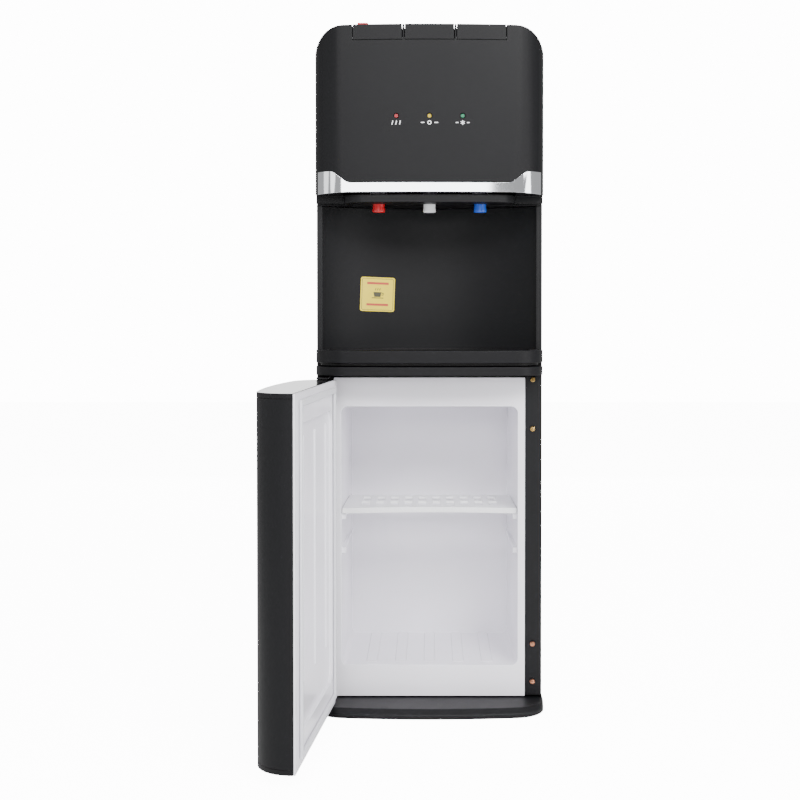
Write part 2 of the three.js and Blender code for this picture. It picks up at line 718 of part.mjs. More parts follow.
// The space that the side panels' narrow front folds take, with clearance.
function flangeChannel() {
  return union(...[-1, 1].map((side) => {
    const edge = side * (half - FLANGE_WIDTH_UPPER - 1);
    return block(
      Math.min(edge, side * half), Math.max(edge, side * half),
      CABINET_FACE_Y - GAP, CABINET_FACE_Y + SHEET + GAP, 0, BODY_HEIGHT,
    );
  }));
}

function makeSplashPanel() {
  const shape = new THREE.Shape();
  shape.absarc(
    0, splashCentreY, splashRadius, Math.PI / 2 - splashReach, Math.PI / 2 + splashReach, false,
  );
  const outer = splashRadius + SHELL;
  shape.absarc(
    0, splashCentreY, outer, Math.PI / 2 + splashReach, Math.PI / 2 - splashReach, true,
  );
  const panel = upright(shape, LEDGE_TOP + GAP, ALCOVE_TOP, 12);
  const sides = block(
    -splashHalf, splashHalf, CABINET_FACE_Y - 1, BACK_Y, LEDGE_TOP, ALCOVE_TOP,
  );
  return panel.intersect(sides).subtract(flangeChannel());
}

function makeLedge() {
  const ledgeBottom = CABINET_TOP + 3;
  const faceY = FRONT_Y + LEDGE_SETBACK;
  const skin = bowed(half, faceY, CABINET_FACE_Y - GAP, 0, ledgeBottom, LEDGE_TOP);
  const hollow = bowed(
    half - SHELL, faceY + SHELL, CABINET_FACE_Y + 20, SHELL, ledgeBottom - 1, LEDGE_TOP - SHELL,
  );
  const shelfBehind = new THREE.Shape();
  shelfBehind.moveTo(-splashHalf + 8, CABINET_FACE_Y - 1);
  shelfBehind.lineTo(splashHalf - 8, CABINET_FACE_Y - 1);
  shelfBehind.lineTo(splashHalf - 8, CABINET_FACE_Y + SPLASH_DEPTH + 8);
  shelfBehind.lineTo(-splashHalf + 8, CABINET_FACE_Y + SPLASH_DEPTH + 8);
  const deck = upright(shelfBehind, LEDGE_TOP - SHELL, LEDGE_TOP);
  return skin.subtract(hollow).add(deck);
}

addPart('splash_panel', makeSplashPanel(), 'blackAbs');
addPart('tray_ledge', makeLedge(), 'blackAbs');

const trayFloor = LEDGE_TOP + 1;
const trayBandBottom = LEDGE_TOP + 5;
const grilleSeat = TRAY_TOP - 5;

// The tray from above: bowed in front, and behind the curve of the splash panel.
function makeTraySolid(inset, z0, z1) {
  const front = bowed(
    half - inset, FRONT_Y + LEDGE_SETBACK + inset, CABINET_FACE_Y - REVEAL - inset, inset, z0, z1,
  );
  const basin = new THREE.Shape();
  const radius = splashRadius - REVEAL - inset;
  const limit = splashHalf - 12 - inset;
  const reach = Math.asin(limit / radius);
  basin.moveTo(-limit, CABINET_FACE_Y - 30);
  basin.lineTo(limit, CABINET_FACE_Y - 30);
  basin.absarc(0, splashCentreY, radius, Math.PI / 2 - reach, Math.PI / 2 + reach, false);
  const back = upright(basin, z0, z1, 6);
  return front.add(back);
}

function makeTray() {
  const band = makeTraySolid(0, trayBandBottom, TRAY_TOP);
  const foot = makeTraySolid(6, trayFloor, trayBandBottom + 0.5);
  const basin = makeTraySolid(10, trayFloor + 2, TRAY_TOP + 1);
  const seat = makeTraySolid(5, grilleSeat, TRAY_TOP + 1);
  return band.add(foot).subtract(basin).subtract(seat);
}

function makeGrille() {
  const plate = makeTraySolid(5 + REVEAL, grilleSeat + GAP, grilleSeat + GAP + GRILLE_THICKNESS);
  const slots = [];
  for (let row = 0; row < 5; row += 1) {
    const y = -143 + row * 13;
    const reach = row < 4 ? 96 : 84;
    for (const side of [-1, 1]) {
      const x0 = side > 0 ? 4 : -reach;
      const x1 = side > 0 ? reach : -4;
      slots.push(block(x0, x1, y, y + 6, grilleSeat - 1, TRAY_TOP + 1));
    }
  }
  return plate.subtract(union(...slots));
}

addPart('drip_tray', makeTray(), 'blackAbs');
addPart('drip_grille', makeGrille(), 'blackAbs');

// ---------------------------------------------------------------- head: housing and trim

const headHalf = half + 0.3;
const headFrontBack = CABINET_FACE_Y + 2;      // the front housing ends here
const headInnerHalf = headHalf - SHELL;
const keyLeft = (index) => (index - 1) * KEY_PITCH - KEY_WIDTH / 2;
const keyBottom = BODY_HEIGHT - KEY_HEIGHT;
const keyWallY = FRONT_Y + KEY_DEPTH + 3.8;

// The head seen from the front: square below, rounded upper corners.
function headElevation(inset, bottom) {
  const radius = HEAD_TOP_RADIUS - inset;
  const edge = headHalf - inset;
  const top = BODY_HEIGHT - inset;
  const shape = new THREE.Shape();
  shape.moveTo(-edge, bottom);
  shape.lineTo(edge, bottom);
  shape.absarc(edge - radius, top - radius, radius, 0, Math.PI / 2, false);
  shape.absarc(-edge + radius, top - radius, radius, Math.PI / 2, Math.PI, false);
  return shape;
}

function headBlock(inset, y0, y1, bottom) {
  return lengthwise(headElevation(inset, bottom), y0, y1, 4);
}

function keyPocket(index) {
  return block(
    keyLeft(index) - REVEAL, keyLeft(index) + KEY_WIDTH + REVEAL,
    FRONT_Y - 5, keyWallY, keyBottom - GAP, BODY_HEIGHT + 5,
  );
}

// Steel rod that the three keys turn on, or with clearance the bores for it.
function makeKeyRod(clearance) {
  const reach = 1.5 * KEY_PITCH + 2;
  const rod = new THREE.CylinderGeometry(
    KEY_ROD_RADIUS + clearance, KEY_ROD_RADIUS + clearance, 2 * (reach + clearance), 12,
  );
  return solid(rod.rotateZ(Math.PI / 2).translate(0, KEY_ROD_Y, KEY_ROD_Z));
}

// The trough under the keys: a floor that the push rods pass through, a back wall, and
// walls between and beside the keys that carry the rod.
function makeKeyTrough() {
  const width = 1.5 * KEY_PITCH + 4;
  const floorTop = keyBottom - 3.5;
  const wallBack = keyWallY + SHELL;
  const floor = block(-width, width, FRONT_Y + SHELL + 6, wallBack, floorTop - 2, floorTop);
  const back = block(-width, width, keyWallY, wallBack, floorTop - 2, BODY_HEIGHT - 1);
  const walls = [-1.5, -0.5, 0.5, 1.5].map((step) => {
    const x = step * KEY_PITCH;
    const thickness = KEY_PITCH - KEY_WIDTH - 2 * REVEAL;
    const outward = Math.abs(step) > 1 ? Math.sign(step) * 2 : 0;
    return block(
      Math.min(x - thickness / 2, x + outward), Math.max(x + thickness / 2, x + outward),
      FRONT_Y + SHELL + 4.5, wallBack, floorTop - 1, BODY_HEIGHT - 1.5,
    );
  });
  const bores = [-1, 0, 1].map((column) => (
    post(PUSH_ROD_RADIUS + REVEAL, column * KEY_PITCH, PUSH_ROD_Y, floorTop - 5, floorTop + 5, 12)
  ));
  return union(floor, back, ...walls).subtract(union(...bores));
}

// Two bosses on the inside of the front wall that hold the lamp board.
function makeLampBosses() {
  return [-1, 1].map((side) => (
    bar(3, side * (LAMP_PITCH + 8), LAMP_Z, FRONT_Y + SHELL, LAMP_BOARD_Y - GAP, 10)
  ));
}

// Closes the head beside the lip: a soffit behind the trim and a wall down to the splash panel.
function makeCheekWall(side) {
  const wallX = [side * (LIP_HALF_WIDTH + REVEAL), side * headHalf];
  const x0 = Math.min(...wallX);
  const x1 = Math.max(...wallX);
  const cheekY = CABINET_FACE_Y - 4;
  const soffit = block(x0, x1, FRONT_Y, cheekY + SHELL, TRIM_BOTTOM - 1, TRIM_BOTTOM + 1.5);
  const wall = block(x0, x1, cheekY, cheekY + SHELL, HEAD_BOTTOM, TRIM_BOTTOM + 1.5);
  return soffit.add(wall);
}

function makeFrontHousing() {
  const outer = bowed(headHalf, FRONT_Y, headFrontBack, 0, HEAD_BOTTOM, BODY_HEIGHT)
    .intersect(headBlock(0, FRONT_Y - 5, 0, HEAD_BOTTOM));
  const inner = bowed(
    headInnerHalf, FRONT_Y + SHELL, headFrontBack + 10, SHELL, HEAD_BOTTOM - 5, BODY_HEIGHT,
  ).intersect(headBlock(SHELL, FRONT_Y - 5, 0, HEAD_BOTTOM - 5));
  const lipWindow = block(
    -LIP_HALF_WIDTH - REVEAL, LIP_HALF_WIDTH + REVEAL, FRONT_Y - 5, CABINET_FACE_Y - 10,
    HEAD_BOTTOM - 5, TRIM_BOTTOM - 1,
  );
  const cheeks = union(...[-1, 1].map((side) => block(
    Math.min(side * (LIP_HALF_WIDTH + REVEAL), side * half * 2),
    Math.max(side * (LIP_HALF_WIDTH + REVEAL), side * half * 2),
    FRONT_Y - 5, CABINET_FACE_Y - 4, HEAD_BOTTOM - 5, TRIM_BOTTOM - 1,
  )));
  const lamps = [-1, 0, 1].map((column) => (
    bar(LAMP_BEZEL_RADIUS, column * LAMP_PITCH, LAMP_Z, FRONT_Y - 5, FRONT_Y + 15, 14)
  ));
  const pockets = [0, 1, 2].map(keyPocket);
  const cheekWalls = union(...[-1, 1].map(makeCheekWall)).intersect(outer);
  const inside = union(makeKeyTrough(), cheekWalls, ...makeLampBosses());
  const shell = outer.subtract(inner).add(inside);
  return shell.subtract(union(lipWindow, cheeks, ...lamps, ...pockets, makeKeyRod(GAP)));
}

addPart('front_housing', makeFrontHousing(), 'blackAbs');

// The plated band seen from the front: raised at both ends, with its bends rounded.
function trimElevation() {
  const slopeX = TRIM_SLOPE_OUTER - TRIM_SLOPE_INNER;
  const slope = Math.hypot(slopeX, TRIM_END_TOP - TRIM_TOP);
  const stepX = (slopeX / slope) * TRIM_ROUND;
  const stepZ = ((TRIM_END_TOP - TRIM_TOP) / slope) * TRIM_ROUND;
  const shape = new THREE.Shape();
  shape.moveTo(-TRIM_HALF_WIDTH, TRIM_END_BOTTOM);
  shape.lineTo(-TRIM_SLOPE_INNER, TRIM_BOTTOM);
  shape.lineTo(TRIM_SLOPE_INNER, TRIM_BOTTOM);
  shape.lineTo(TRIM_HALF_WIDTH, TRIM_END_BOTTOM);
  shape.lineTo(TRIM_HALF_WIDTH, TRIM_END_TOP);
  const bend = (x, z, fromX, fromZ, toX, toZ) => {
    shape.lineTo(x + fromX, z + fromZ);
    shape.quadraticCurveTo(x, z, x + toX, z + toZ);
  };
  bend(TRIM_SLOPE_OUTER, TRIM_END_TOP, TRIM_ROUND, 0, -stepX, -stepZ);
  bend(TRIM_SLOPE_INNER, TRIM_TOP, stepX, stepZ, -TRIM_ROUND, 0);
  bend(-TRIM_SLOPE_INNER, TRIM_TOP, TRIM_ROUND, 0, -stepX, stepZ);
  bend(-TRIM_SLOPE_OUTER, TRIM_END_TOP, stepX, -stepZ, -TRIM_ROUND, 0);
  shape.lineTo(-TRIM_HALF_WIDTH, TRIM_END_TOP);
  return shape;
}

function makeTrim() {
  const band = bowed(
    headHalf + TRIM_PROUD, FRONT_Y - TRIM_PROUD, TRIM_END_Y, -TRIM_PROUD,
    TRIM_END_BOTTOM, TRIM_END_TOP,
  );
  const core = bowed(
    headHalf + GAP, FRONT_Y - GAP, TRIM_END_Y + 5, -GAP, TRIM_END_BOTTOM - 1, TRIM_END_TOP + 1,
  );
  return band.subtract(core).intersect(lengthwise(trimElevation(), FRONT_Y - 10, 0, 3));
}

addPart('chrome_trim', makeTrim(), 'chrome');

// The closed underside of the head: a plate between the cheeks with a forward lip that
// carries the taps.
function makeTapLip() {
  const lip = bowed(
    LIP_HALF_WIDTH, FRONT_Y + LIP_SETBACK, CABINET_FACE_Y - 12, LIP_INSET, LIP_BOTTOM, LIP_TOP,
  );
  const ceiling = block(
    -splashHalf, splashHalf, CABINET_FACE_Y - 4 + GAP, CABINET_FACE_Y + SPLASH_DEPTH + 12,
    ALCOVE_TOP + GAP, HEAD_BOTTOM - GAP,
  );
  const tongue = block(
    -LIP_HALF_WIDTH + 10, LIP_HALF_WIDTH - 10, CABINET_FACE_Y - 13, CABINET_FACE_Y,
    LIP_BOTTOM, HEAD_BOTTOM - GAP,
  );
  const bores = [-1, 0, 1].map((column) => (
    post(NOZZLE_RADIUS + REVEAL, column * KEY_PITCH, TAP_Y, LIP_BOTTOM - 5, LIP_TOP + 5, 16)
  ));
  return union(lip, ceiling, tongue).subtract(union(...bores, flangeChannel()));
}

addPart('tap_lip', makeTapLip(), 'blackAbs');

// ---------------------------------------------------------------- keys and push rods

const keyNames = ['hot', 'room', 'cold'];
const keyX = keyNames.map((name, index) => (index - 1) * KEY_PITCH);
const padBottom = keyBottom - 1;
const pushRodTop = padBottom - 2 * GAP;
const lockX = keyX[0] - KEY_WIDTH / 2 + LOCK_OFFSET;
const lockFrontY = FRONT_Y + LOCK_SETBACK;

function makeKey(index) {
  const x0 = keyLeft(index);
  const x1 = x0 + KEY_WIDTH;
  const backY = FRONT_Y + KEY_DEPTH;
  const outer = bowed(headHalf, FRONT_Y, backY, 0, keyBottom, BODY_HEIGHT)
    .intersect(block(x0, x1, FRONT_Y - 5, backY, keyBottom, BODY_HEIGHT));
  const inner = bowed(
    headHalf - KEY_SHELL, FRONT_Y + KEY_SHELL, backY + 5, KEY_SHELL,
    keyBottom - 5, BODY_HEIGHT - KEY_SHELL,
  ).intersect(block(x0 + 2, x1 - 2, FRONT_Y, backY + 5, keyBottom - 5, BODY_HEIGHT));
  const pad = post(3, keyX[index], PUSH_ROD_Y, padBottom, BODY_HEIGHT - 1, 10);
  const key = outer.subtract(inner).add(pad).subtract(makeKeyRod(0.05));
  if (index > 0) {
    return key;
  }
  const slot = block(
    lockX - LOCK_HALF_WIDTH - GAP, lockX + LOCK_HALF_WIDTH + GAP,
    lockFrontY - GAP, lockFrontY + LOCK_LENGTH + LOCK_TRAVEL + GAP,
    BODY_HEIGHT - KEY_SHELL - 1, BODY_HEIGHT + 1,
  );
  return key.subtract(slot);
}

keyNames.forEach((name, index) => {
  addPart(`key_${name}`, makeKey(index), 'blackAbs');
});
addPart('key_pivot_rod', makeKeyRod(0), 'steel');

// The red child lock: a tab through the hot key with a wider foot under it.
function makeChildLock() {
  const plateBottom = BODY_HEIGHT - KEY_SHELL;
  const tab = block(
    lockX - LOCK_HALF_WIDTH, lockX + LOCK_HALF_WIDTH, lockFrontY, lockFrontY + LOCK_LENGTH,
    plateBottom - 2, BODY_HEIGHT + LOCK_PROUD,
  );
  const foot = block(
    lockX - LOCK_HALF_WIDTH - 1.5, lockX + LOCK_HALF_WIDTH + 1.5,
    lockFrontY - 1, lockFrontY + LOCK_LENGTH + 1,
    plateBottom - 2.3, plateBottom - GAP,
  );
  return tab.add(foot);
}

addPart('child_lock', makeChildLock(), 'red');

keyNames.forEach((name, index) => {
  addPart(
    `push_rod_${name}`,
    post(PUSH_ROD_RADIUS, keyX[index], PUSH_ROD_Y, TAP_TOP - 7, pushRodTop, 8),
    'whitePlastic',
  );
});

// ---------------------------------------------------------------- taps and nozzles


function makeTap(x) {
  const body = post(12, x, TAP_Y, LIP_TOP + GAP, TAP_TOP - 2, 14);
  const inlet = bar(4.5, x, TAP_INLET_Z, TAP_Y, TAP_INLET_Y, 8);
  const arm = block(x - 6, x + 6, PUSH_ROD_Y - 6, TAP_Y, TAP_TOP - 9, TAP_TOP);
  const bore = post(PUSH_ROD_RADIUS + REVEAL / 2, x, PUSH_ROD_Y, TAP_TOP - 12, TAP_TOP + 1, 8);
  return union(body, inlet, arm).subtract(bore);
}

function makeNozzle(x) {
  const r = NOZZLE_RADIUS;
  return turned([
    [0, LIP_BOTTOM + 5], [4.5, LIP_BOTTOM + 5], [4.5, NOZZLE_BOTTOM], [r - 0.3, NOZZLE_BOTTOM],
    [r - 0.6, NOZZLE_BOTTOM + 6], [r, LIP_BOTTOM + 1], [r, LIP_TOP], [0, LIP_TOP],
  ], x, TAP_Y, 12);
}

const nozzleFinish = ['red', 'whitePlastic', 'blue'];
keyNames.forEach((name, index) => {
  addPart(`tap_${name}`, makeTap(keyX[index]), 'whitePlastic');
  addPart(`nozzle_${name}`, makeNozzle(keyX[index]), nozzleFinish[index]);
});

// ---------------------------------------------------------------- lamps

function bowAt(x) {
  return FRONT_RADIUS - Math.sqrt(FRONT_RADIUS ** 2 - x ** 2);
}

function makeLamp(x) {
  const lensY = FRONT_Y + bowAt(x) + 0.4;
  const lens = bar(LAMP_RADIUS, x, LAMP_Z, lensY, LAMP_BOARD_Y - GAP, 12);
  const rim = bar(LAMP_RADIUS + 0.4, x, LAMP_Z, LAMP_BOARD_Y - 4, LAMP_BOARD_Y - 3, 12);
  return lens.add(rim);
}

const lampNames = ['hot', 'power', 'cold'];
const lampFinish = ['red', 'yellow', 'green'];
lampNames.forEach((name, index) => {
  addPart(`lamp_${name}`, makeLamp((index - 1) * LAMP_PITCH), lampFinish[index]);
});
addPart(
  'lamp_board',
  block(
    -LAMP_PITCH - 14, LAMP_PITCH + 14, LAMP_BOARD_Y, LAMP_BOARD_Y + 1.6, LAMP_Z - 12, LAMP_Z + 12,
  ),
  'board',
);

// ---------------------------------------------------------------- top cover and bottle collar

function makeTopCover() {
  const frontY = headFrontBack + GAP;
  const outer = headBlock(0, frontY, BACK_Y, HEAD_BOTTOM);
  const inner = headBlock(SHELL, frontY - 5, BACK_Y - SHELL, HEAD_BOTTOM - 5);
  const half2 = 2 * half;
  const rearDoorway = block(
    -headInnerHalf, headInnerHalf, BACK_Y - SHELL - 1, BACK_Y + 5, HEAD_BOTTOM - 5,
    REAR_PANEL_TOP - 6,
  );
  const rearStep = block(
    -half2, half2, BACK_Y - SHEET, BACK_Y + 5, HEAD_BOTTOM - 5, REAR_PANEL_TOP + GAP,
  );
  const mouth = post(WELL_RADIUS + 1, 0, WELL_Y, WELL_FLOOR, BODY_HEIGHT + 5, 30);
  const r = WELL_RADIUS;
  const throat = WELL_THROAT_RADIUS;
  const low = WELL_FLOOR - 21;
  const bowl = turned([
    [r, BODY_HEIGHT + 1], [r - 6, WELL_FLOOR], [throat + 4, WELL_FLOOR - 9], [throat, low],
    [throat, low - 4], [throat + SHELL, low - 4], [throat + 6, WELL_FLOOR - 12],
    [r - 3, WELL_FLOOR - SHELL], [r + SHELL, BODY_HEIGHT - 3], [r + SHELL, BODY_HEIGHT + 1],
  ], 0, WELL_Y, 30);
  const plain = outer.subtract(inner).subtract(union(rearDoorway, rearStep, mouth));
  return plain.add(bowl.intersect(outer));
}

addPart('top_cover', makeTopCover(), 'blackAbs');

// The lift-out collar that opens the bottle's seal: a cup with a feed tube in the middle.
function makeBottleCollar() {
  const seat = WELL_FLOOR - 5.5;
  return turned([
    [6, seat - 37], [9, seat - 37], [9, seat], [58, seat], [58, seat + 18], [55, seat + 18],
    [55, seat + 3], [9, seat + 3], [7.5, seat + 28], [6, seat + 28],
  ], 0, WELL_Y, 18);
}

addPart('bottle_collar', makeBottleCollar(), 'whitePlastic');

// ---------------------------------------------------------------- cold tank and its cooler

const coldOutletBottom = TANK_BOTTOM - 20;
const foamRadius = TANK_RADIUS + FOAM;

function makeColdTank() {
  const neck = WELL_THROAT_RADIUS - 0.5;
  const r = TANK_RADIUS;
  const shell = turned([
    [0, TANK_BOTTOM], [r, TANK_BOTTOM], [r, TANK_TOP], [neck, TANK_TOP],
    [neck, WELL_FLOOR - 26], [neck - TANK_WALL, WELL_FLOOR - 26],
    [neck - TANK_WALL, TANK_TOP - TANK_WALL], [r - TANK_WALL, TANK_TOP - TANK_WALL],
    [r - TANK_WALL, TANK_BOTTOM + TANK_WALL], [0, TANK_BOTTOM + TANK_WALL],
  ], 0, WELL_Y, 20);
  const outlet = post(
    HOSE_RADIUS, COLD_OUTLET_X, COLD_OUTLET_Y, coldOutletBottom, TANK_BOTTOM + 1, 10,
  );
  return shell.add(outlet);
}

function makeColdTankFoam() {
  const r = TANK_RADIUS + GAP;
  const ring = turned([
    [0, TANK_BOTTOM - FOAM], [foamRadius, TANK_BOTTOM - FOAM], [foamRadius, TANK_TOP - 2],
    [r, TANK_TOP - 2], [r, TANK_BOTTOM - GAP], [0, TANK_BOTTOM - GAP],
  ], 0, WELL_Y, 20);
  const windowCut = block(
    -MODULE_HALF - GAP, MODULE_HALF + GAP, WELL_Y + 40, WELL_Y + 100,
    FAN_Z - MODULE_HALF - GAP, FAN_Z + MODULE_HALF + GAP,
  );
  const outletBore = post(
    HOSE_RADIUS + 1, COLD_OUTLET_X, COLD_OUTLET_Y, TANK_BOTTOM - 30, TANK_BOTTOM + 1, 10,
  );
  return ring.subtract(union(windowCut, outletBore));
}

// The aluminium block and thermoelectric plate between the tank and the heat sink.
function makeCoolingModule() {
  const body = block(
    -MODULE_HALF, MODULE_HALF, WELL_Y + 55, WELL_Y + foamRadius,
    FAN_Z - MODULE_HALF, FAN_Z + MODULE_HALF,
  );
  return body.subtract(
    post(TANK_RADIUS + GAP, 0, WELL_Y, FAN_Z - 40, FAN_Z + 40, 20),
  );
}

function makeHeatSink() {
  const frontY = WELL_Y + foamRadius + GAP;
  const plate = block(-FAN_RADIUS, FAN_RADIUS, frontY, frontY + SINK_PLATE, FAN_Z - 38, FAN_Z + 38);
  const fins = [];
  for (let index = 0; index < 9; index += 1) {
    const x = -FAN_RADIUS + 2 + index * 9;
    fins.push(block(x - 1, x + 1, frontY + 1, SINK_BACK_Y, FAN_Z - 38, FAN_Z + 38));
  }
  return union(plate, ...fins);
}

addPart('cold_tank', makeColdTank(), 'steel');
addPart('cold_tank_foam', makeColdTankFoam(), 'foam');
addPart('cooling_module', makeCoolingModule(), 'aluminium');
addPart('heat_sink', makeHeatSink(), 'aluminium');

const fanFrontY = SINK_BACK_Y + GAP;
const fanBackY = BACK_Y - SHEET - 2;

function makeFanFrame() {
  const frame = block(-FAN_HALF, FAN_HALF, fanFrontY, fanBackY, FAN_Z - FAN_HALF, FAN_Z + FAN_HALF);
  const duct = bar(FAN_SWEPT + 1, 0, FAN_Z, fanFrontY - 1, fanBackY + 1, 24);
  const spokes = union(
    block(-FAN_SWEPT - 2, FAN_SWEPT + 2, fanBackY - 2.5, fanBackY, FAN_Z - 2, FAN_Z + 2),
    block(-2, 2, fanBackY - 2.5, fanBackY, FAN_Z - FAN_SWEPT - 2, FAN_Z + FAN_SWEPT + 2),
    bar(13, 0, FAN_Z, fanBackY - 2.5, fanBackY, 14),
  );
  return frame.subtract(duct).add(spokes);
}

function makeFanRotor() {
  const rotorFrontY = fanFrontY + 2;
  const rotorBackY = fanBackY - 4;
  const hub = bar(13, 0, FAN_Z, rotorFrontY, rotorBackY, 14);
  const blades = [];
  for (let index = 0; index < 7; index += 1) {
    const blade = new THREE.BoxGeometry(16, 1.4, FAN_SWEPT - 11.5)
      .rotateZ(THREE.MathUtils.degToRad(35))
      .translate(0, 0, 11.5 + (FAN_SWEPT - 11.5) / 2)
      .rotateY((index * 2 * Math.PI) / 7)
      .translate(0, (rotorFrontY + rotorBackY) / 2, FAN_Z);
    blades.push(solid(blade));
  }
  return union(hub, ...blades);
}

addPart('fan_frame', makeFanFrame(), 'blackAbs');
addPart('fan_rotor', makeFanRotor(), 'blackAbs');

// ---------------------------------------------------------------- hot tank, hoses, electrics

const drainPipeEnd = BACK_Y + 11;

function makeHotTank() {
  const r = HOT_TANK_RADIUS;
  const shell = turned([
    [5, HOT_TANK_TOP + 10], [5, HOT_TANK_TOP], [r, HOT_TANK_TOP], [r, HOT_TANK_BOTTOM],
    [0, HOT_TANK_BOTTOM], [0, HOT_TANK_BOTTOM + TANK_WALL], [r - TANK_WALL, HOT_TANK_BOTTOM + TANK_WALL],
    [r - TANK_WALL, HOT_TANK_TOP - TANK_WALL], [HOSE_RADIUS - 1, HOT_TANK_TOP - TANK_WALL],
    [HOSE_RADIUS - 1, HOT_TANK_TOP + 10],
  ], 0, HOT_TANK_Y, 16);
  const drop = post(5, DRAIN_X, HOT_TANK_Y, DRAIN_Z - 5, HOT_TANK_BOTTOM + 1, 10);
  const pipe = bar(5, DRAIN_X, DRAIN_Z, HOT_TANK_Y - 4, drainPipeEnd, 12);
  return union(shell, drop, pipe);
}

function makeHotTankFoam() {
  const r = HOT_TANK_RADIUS + GAP;
  return turned([
    [r, HOT_TANK_BOTTOM + 2], [r + HOT_FOAM, HOT_TANK_BOTTOM + 2],
    [r + HOT_FOAM, HOT_TANK_TOP - 2], [r, HOT_TANK_TOP - 2],
  ], 0, HOT_TANK_Y, 16);
}

// A hose of round section along a smooth curve through the given points.
function makeHose(points) {
  const route = new THREE.CatmullRomCurve3(points.map((point) => new THREE.Vector3(...point)));
  const section = new THREE.Shape();
  section.absarc(0, 0, HOSE_RADIUS, 0, 2 * Math.PI, false);
  const settings = { steps: 12, curveSegments: 4, bevelEnabled: false, extrudePath: route };
  return solid(new THREE.ExtrudeGeometry(section, settings));
}

addPart('hot_tank', makeHotTank(), 'steel');
addPart('hot_tank_foam', makeHotTankFoam(), 'foam');
const hoseGap = 2 * GAP;         // a hose's end face can lean a little
addPart('hose_hot', makeHose([
  [0, HOT_TANK_Y, HOT_TANK_TOP + 10 + hoseGap], [0, HOT_TANK_Y, HOT_TANK_TOP + 26],
  [-24, HOT_TANK_Y - 36, TAP_INLET_Z - 4], [keyX[0], TAP_INLET_Y + 34, TAP_INLET_Z],
  [keyX[0], TAP_INLET_Y + hoseGap, TAP_INLET_Z],
]), 'whitePlastic');
addPart('hose_cold', makeHose([
  [COLD_OUTLET_X, COLD_OUTLET_Y, coldOutletBottom - hoseGap],
  [COLD_OUTLET_X, COLD_OUTLET_Y, coldOutletBottom - 9],
  [keyX[2] - 6, TAP_INLET_Y + 40, TAP_INLET_Z - 12],
  [keyX[2], TAP_INLET_Y + 14, TAP_INLET_Z], [keyX[2], TAP_INLET_Y + hoseGap, TAP_INLET_Z],
]), 'whitePlastic');

function makePowerBoard() {
  const x = half - SHEET - 8;
  const board = block(x, x + 1.6, 0, 100, 540, 640);
  const transformer = block(x - 30, x + 1, 50, 88, 560, 605);
  const relay = block(x - 16, x + 1, 12, 32, 600, 626);
  return union(board, transformer, relay);
}

addPart('power_board', makePowerBoard(), 'board');

const rockerPivotY = BACK_Y - 1;
const rockerZ = [SWITCH_Z + SWITCH_PITCH / 2, SWITCH_Z - SWITCH_PITCH / 2];

function makeSwitchPlate() {
  const plate = block(
    SWITCH_X - 20, SWITCH_X + 20, BACK_Y + GAP, BACK_Y + 2, SWITCH_Z - 36, SWITCH_Z + 36,
  );
  const box = block(
    SWITCH_X - 15.5, SWITCH_X + 15.5, BACK_Y - 18, BACK_Y + 1, SWITCH_Z - 31.5, SWITCH_Z + 31.5,
  );
  const wells = rockerZ.map((z) => block(
    SWITCH_X - ROCKER_WIDTH / 2 - 0.5, SWITCH_X + ROCKER_WIDTH / 2 + 0.5,
    BACK_Y - 10, BACK_Y + 5, z - ROCKER_HALF - 2.2, z + ROCKER_HALF + 2.2,
  ));
  return plate.add(box).subtract(union(...wells));
}

// A rocker that lies tipped to its off position.
function makeRocker(z) {
  const outline = [[-4, -7], [4.5, -ROCKER_HALF], [3.2, 0], [4.5, ROCKER_HALF], [-4, 7]];
  const tilt = THREE.MathUtils.degToRad(8);
  const shape = polygon(outline.map(([y, up]) => [
    rockerPivotY + y * Math.cos(tilt) - up * Math.sin(tilt),
    z + y * Math.sin(tilt) + up * Math.cos(tilt),
  ]));
  return crosswise(shape, SWITCH_X - ROCKER_WIDTH / 2, SWITCH_X + ROCKER_WIDTH / 2);
}

addPart('switch_plate', makeSwitchPlate(), 'blackAbs');
addPart('switch_hot', makeRocker(rockerZ[0]), 'red');
addPart('switch_cold', makeRocker(rockerZ[1]), 'green');

addPart('drain_cap', turnedAlongY([
  [0, BACK_Y + 14], [DRAIN_RADIUS, BACK_Y + 14], [DRAIN_RADIUS, BACK_Y + 1],
  [5 + GAP, BACK_Y + 1], [5 + GAP, drainPipeEnd + GAP], [0, drainPipeEnd + GAP],
], DRAIN_X, DRAIN_Z, 16), 'whitePlastic');

addPart('cord_gland', turnedAlongY([
  [3.5, BACK_Y - 6], [GLAND_RADIUS, BACK_Y - 6], [GLAND_RADIUS, BACK_Y + GAP],
  [GLAND_RADIUS + 3, BACK_Y + GAP], [GLAND_RADIUS + 2, BACK_Y + 3], [3.5, BACK_Y + 3],
], GLAND_X, GLAND_Z, 14), 'rubber');

export default dispenser;
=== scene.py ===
# %% [markdown]
# # A floor-standing water dispenser
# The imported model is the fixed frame: it says where every piece sits and how it moves. This
# notebook gives each piece its finished shape and its surface. Lengths are in metres.

# %% Load the frame
import json
import math

import bmesh
import bpy
from mathutils import Matrix, Vector

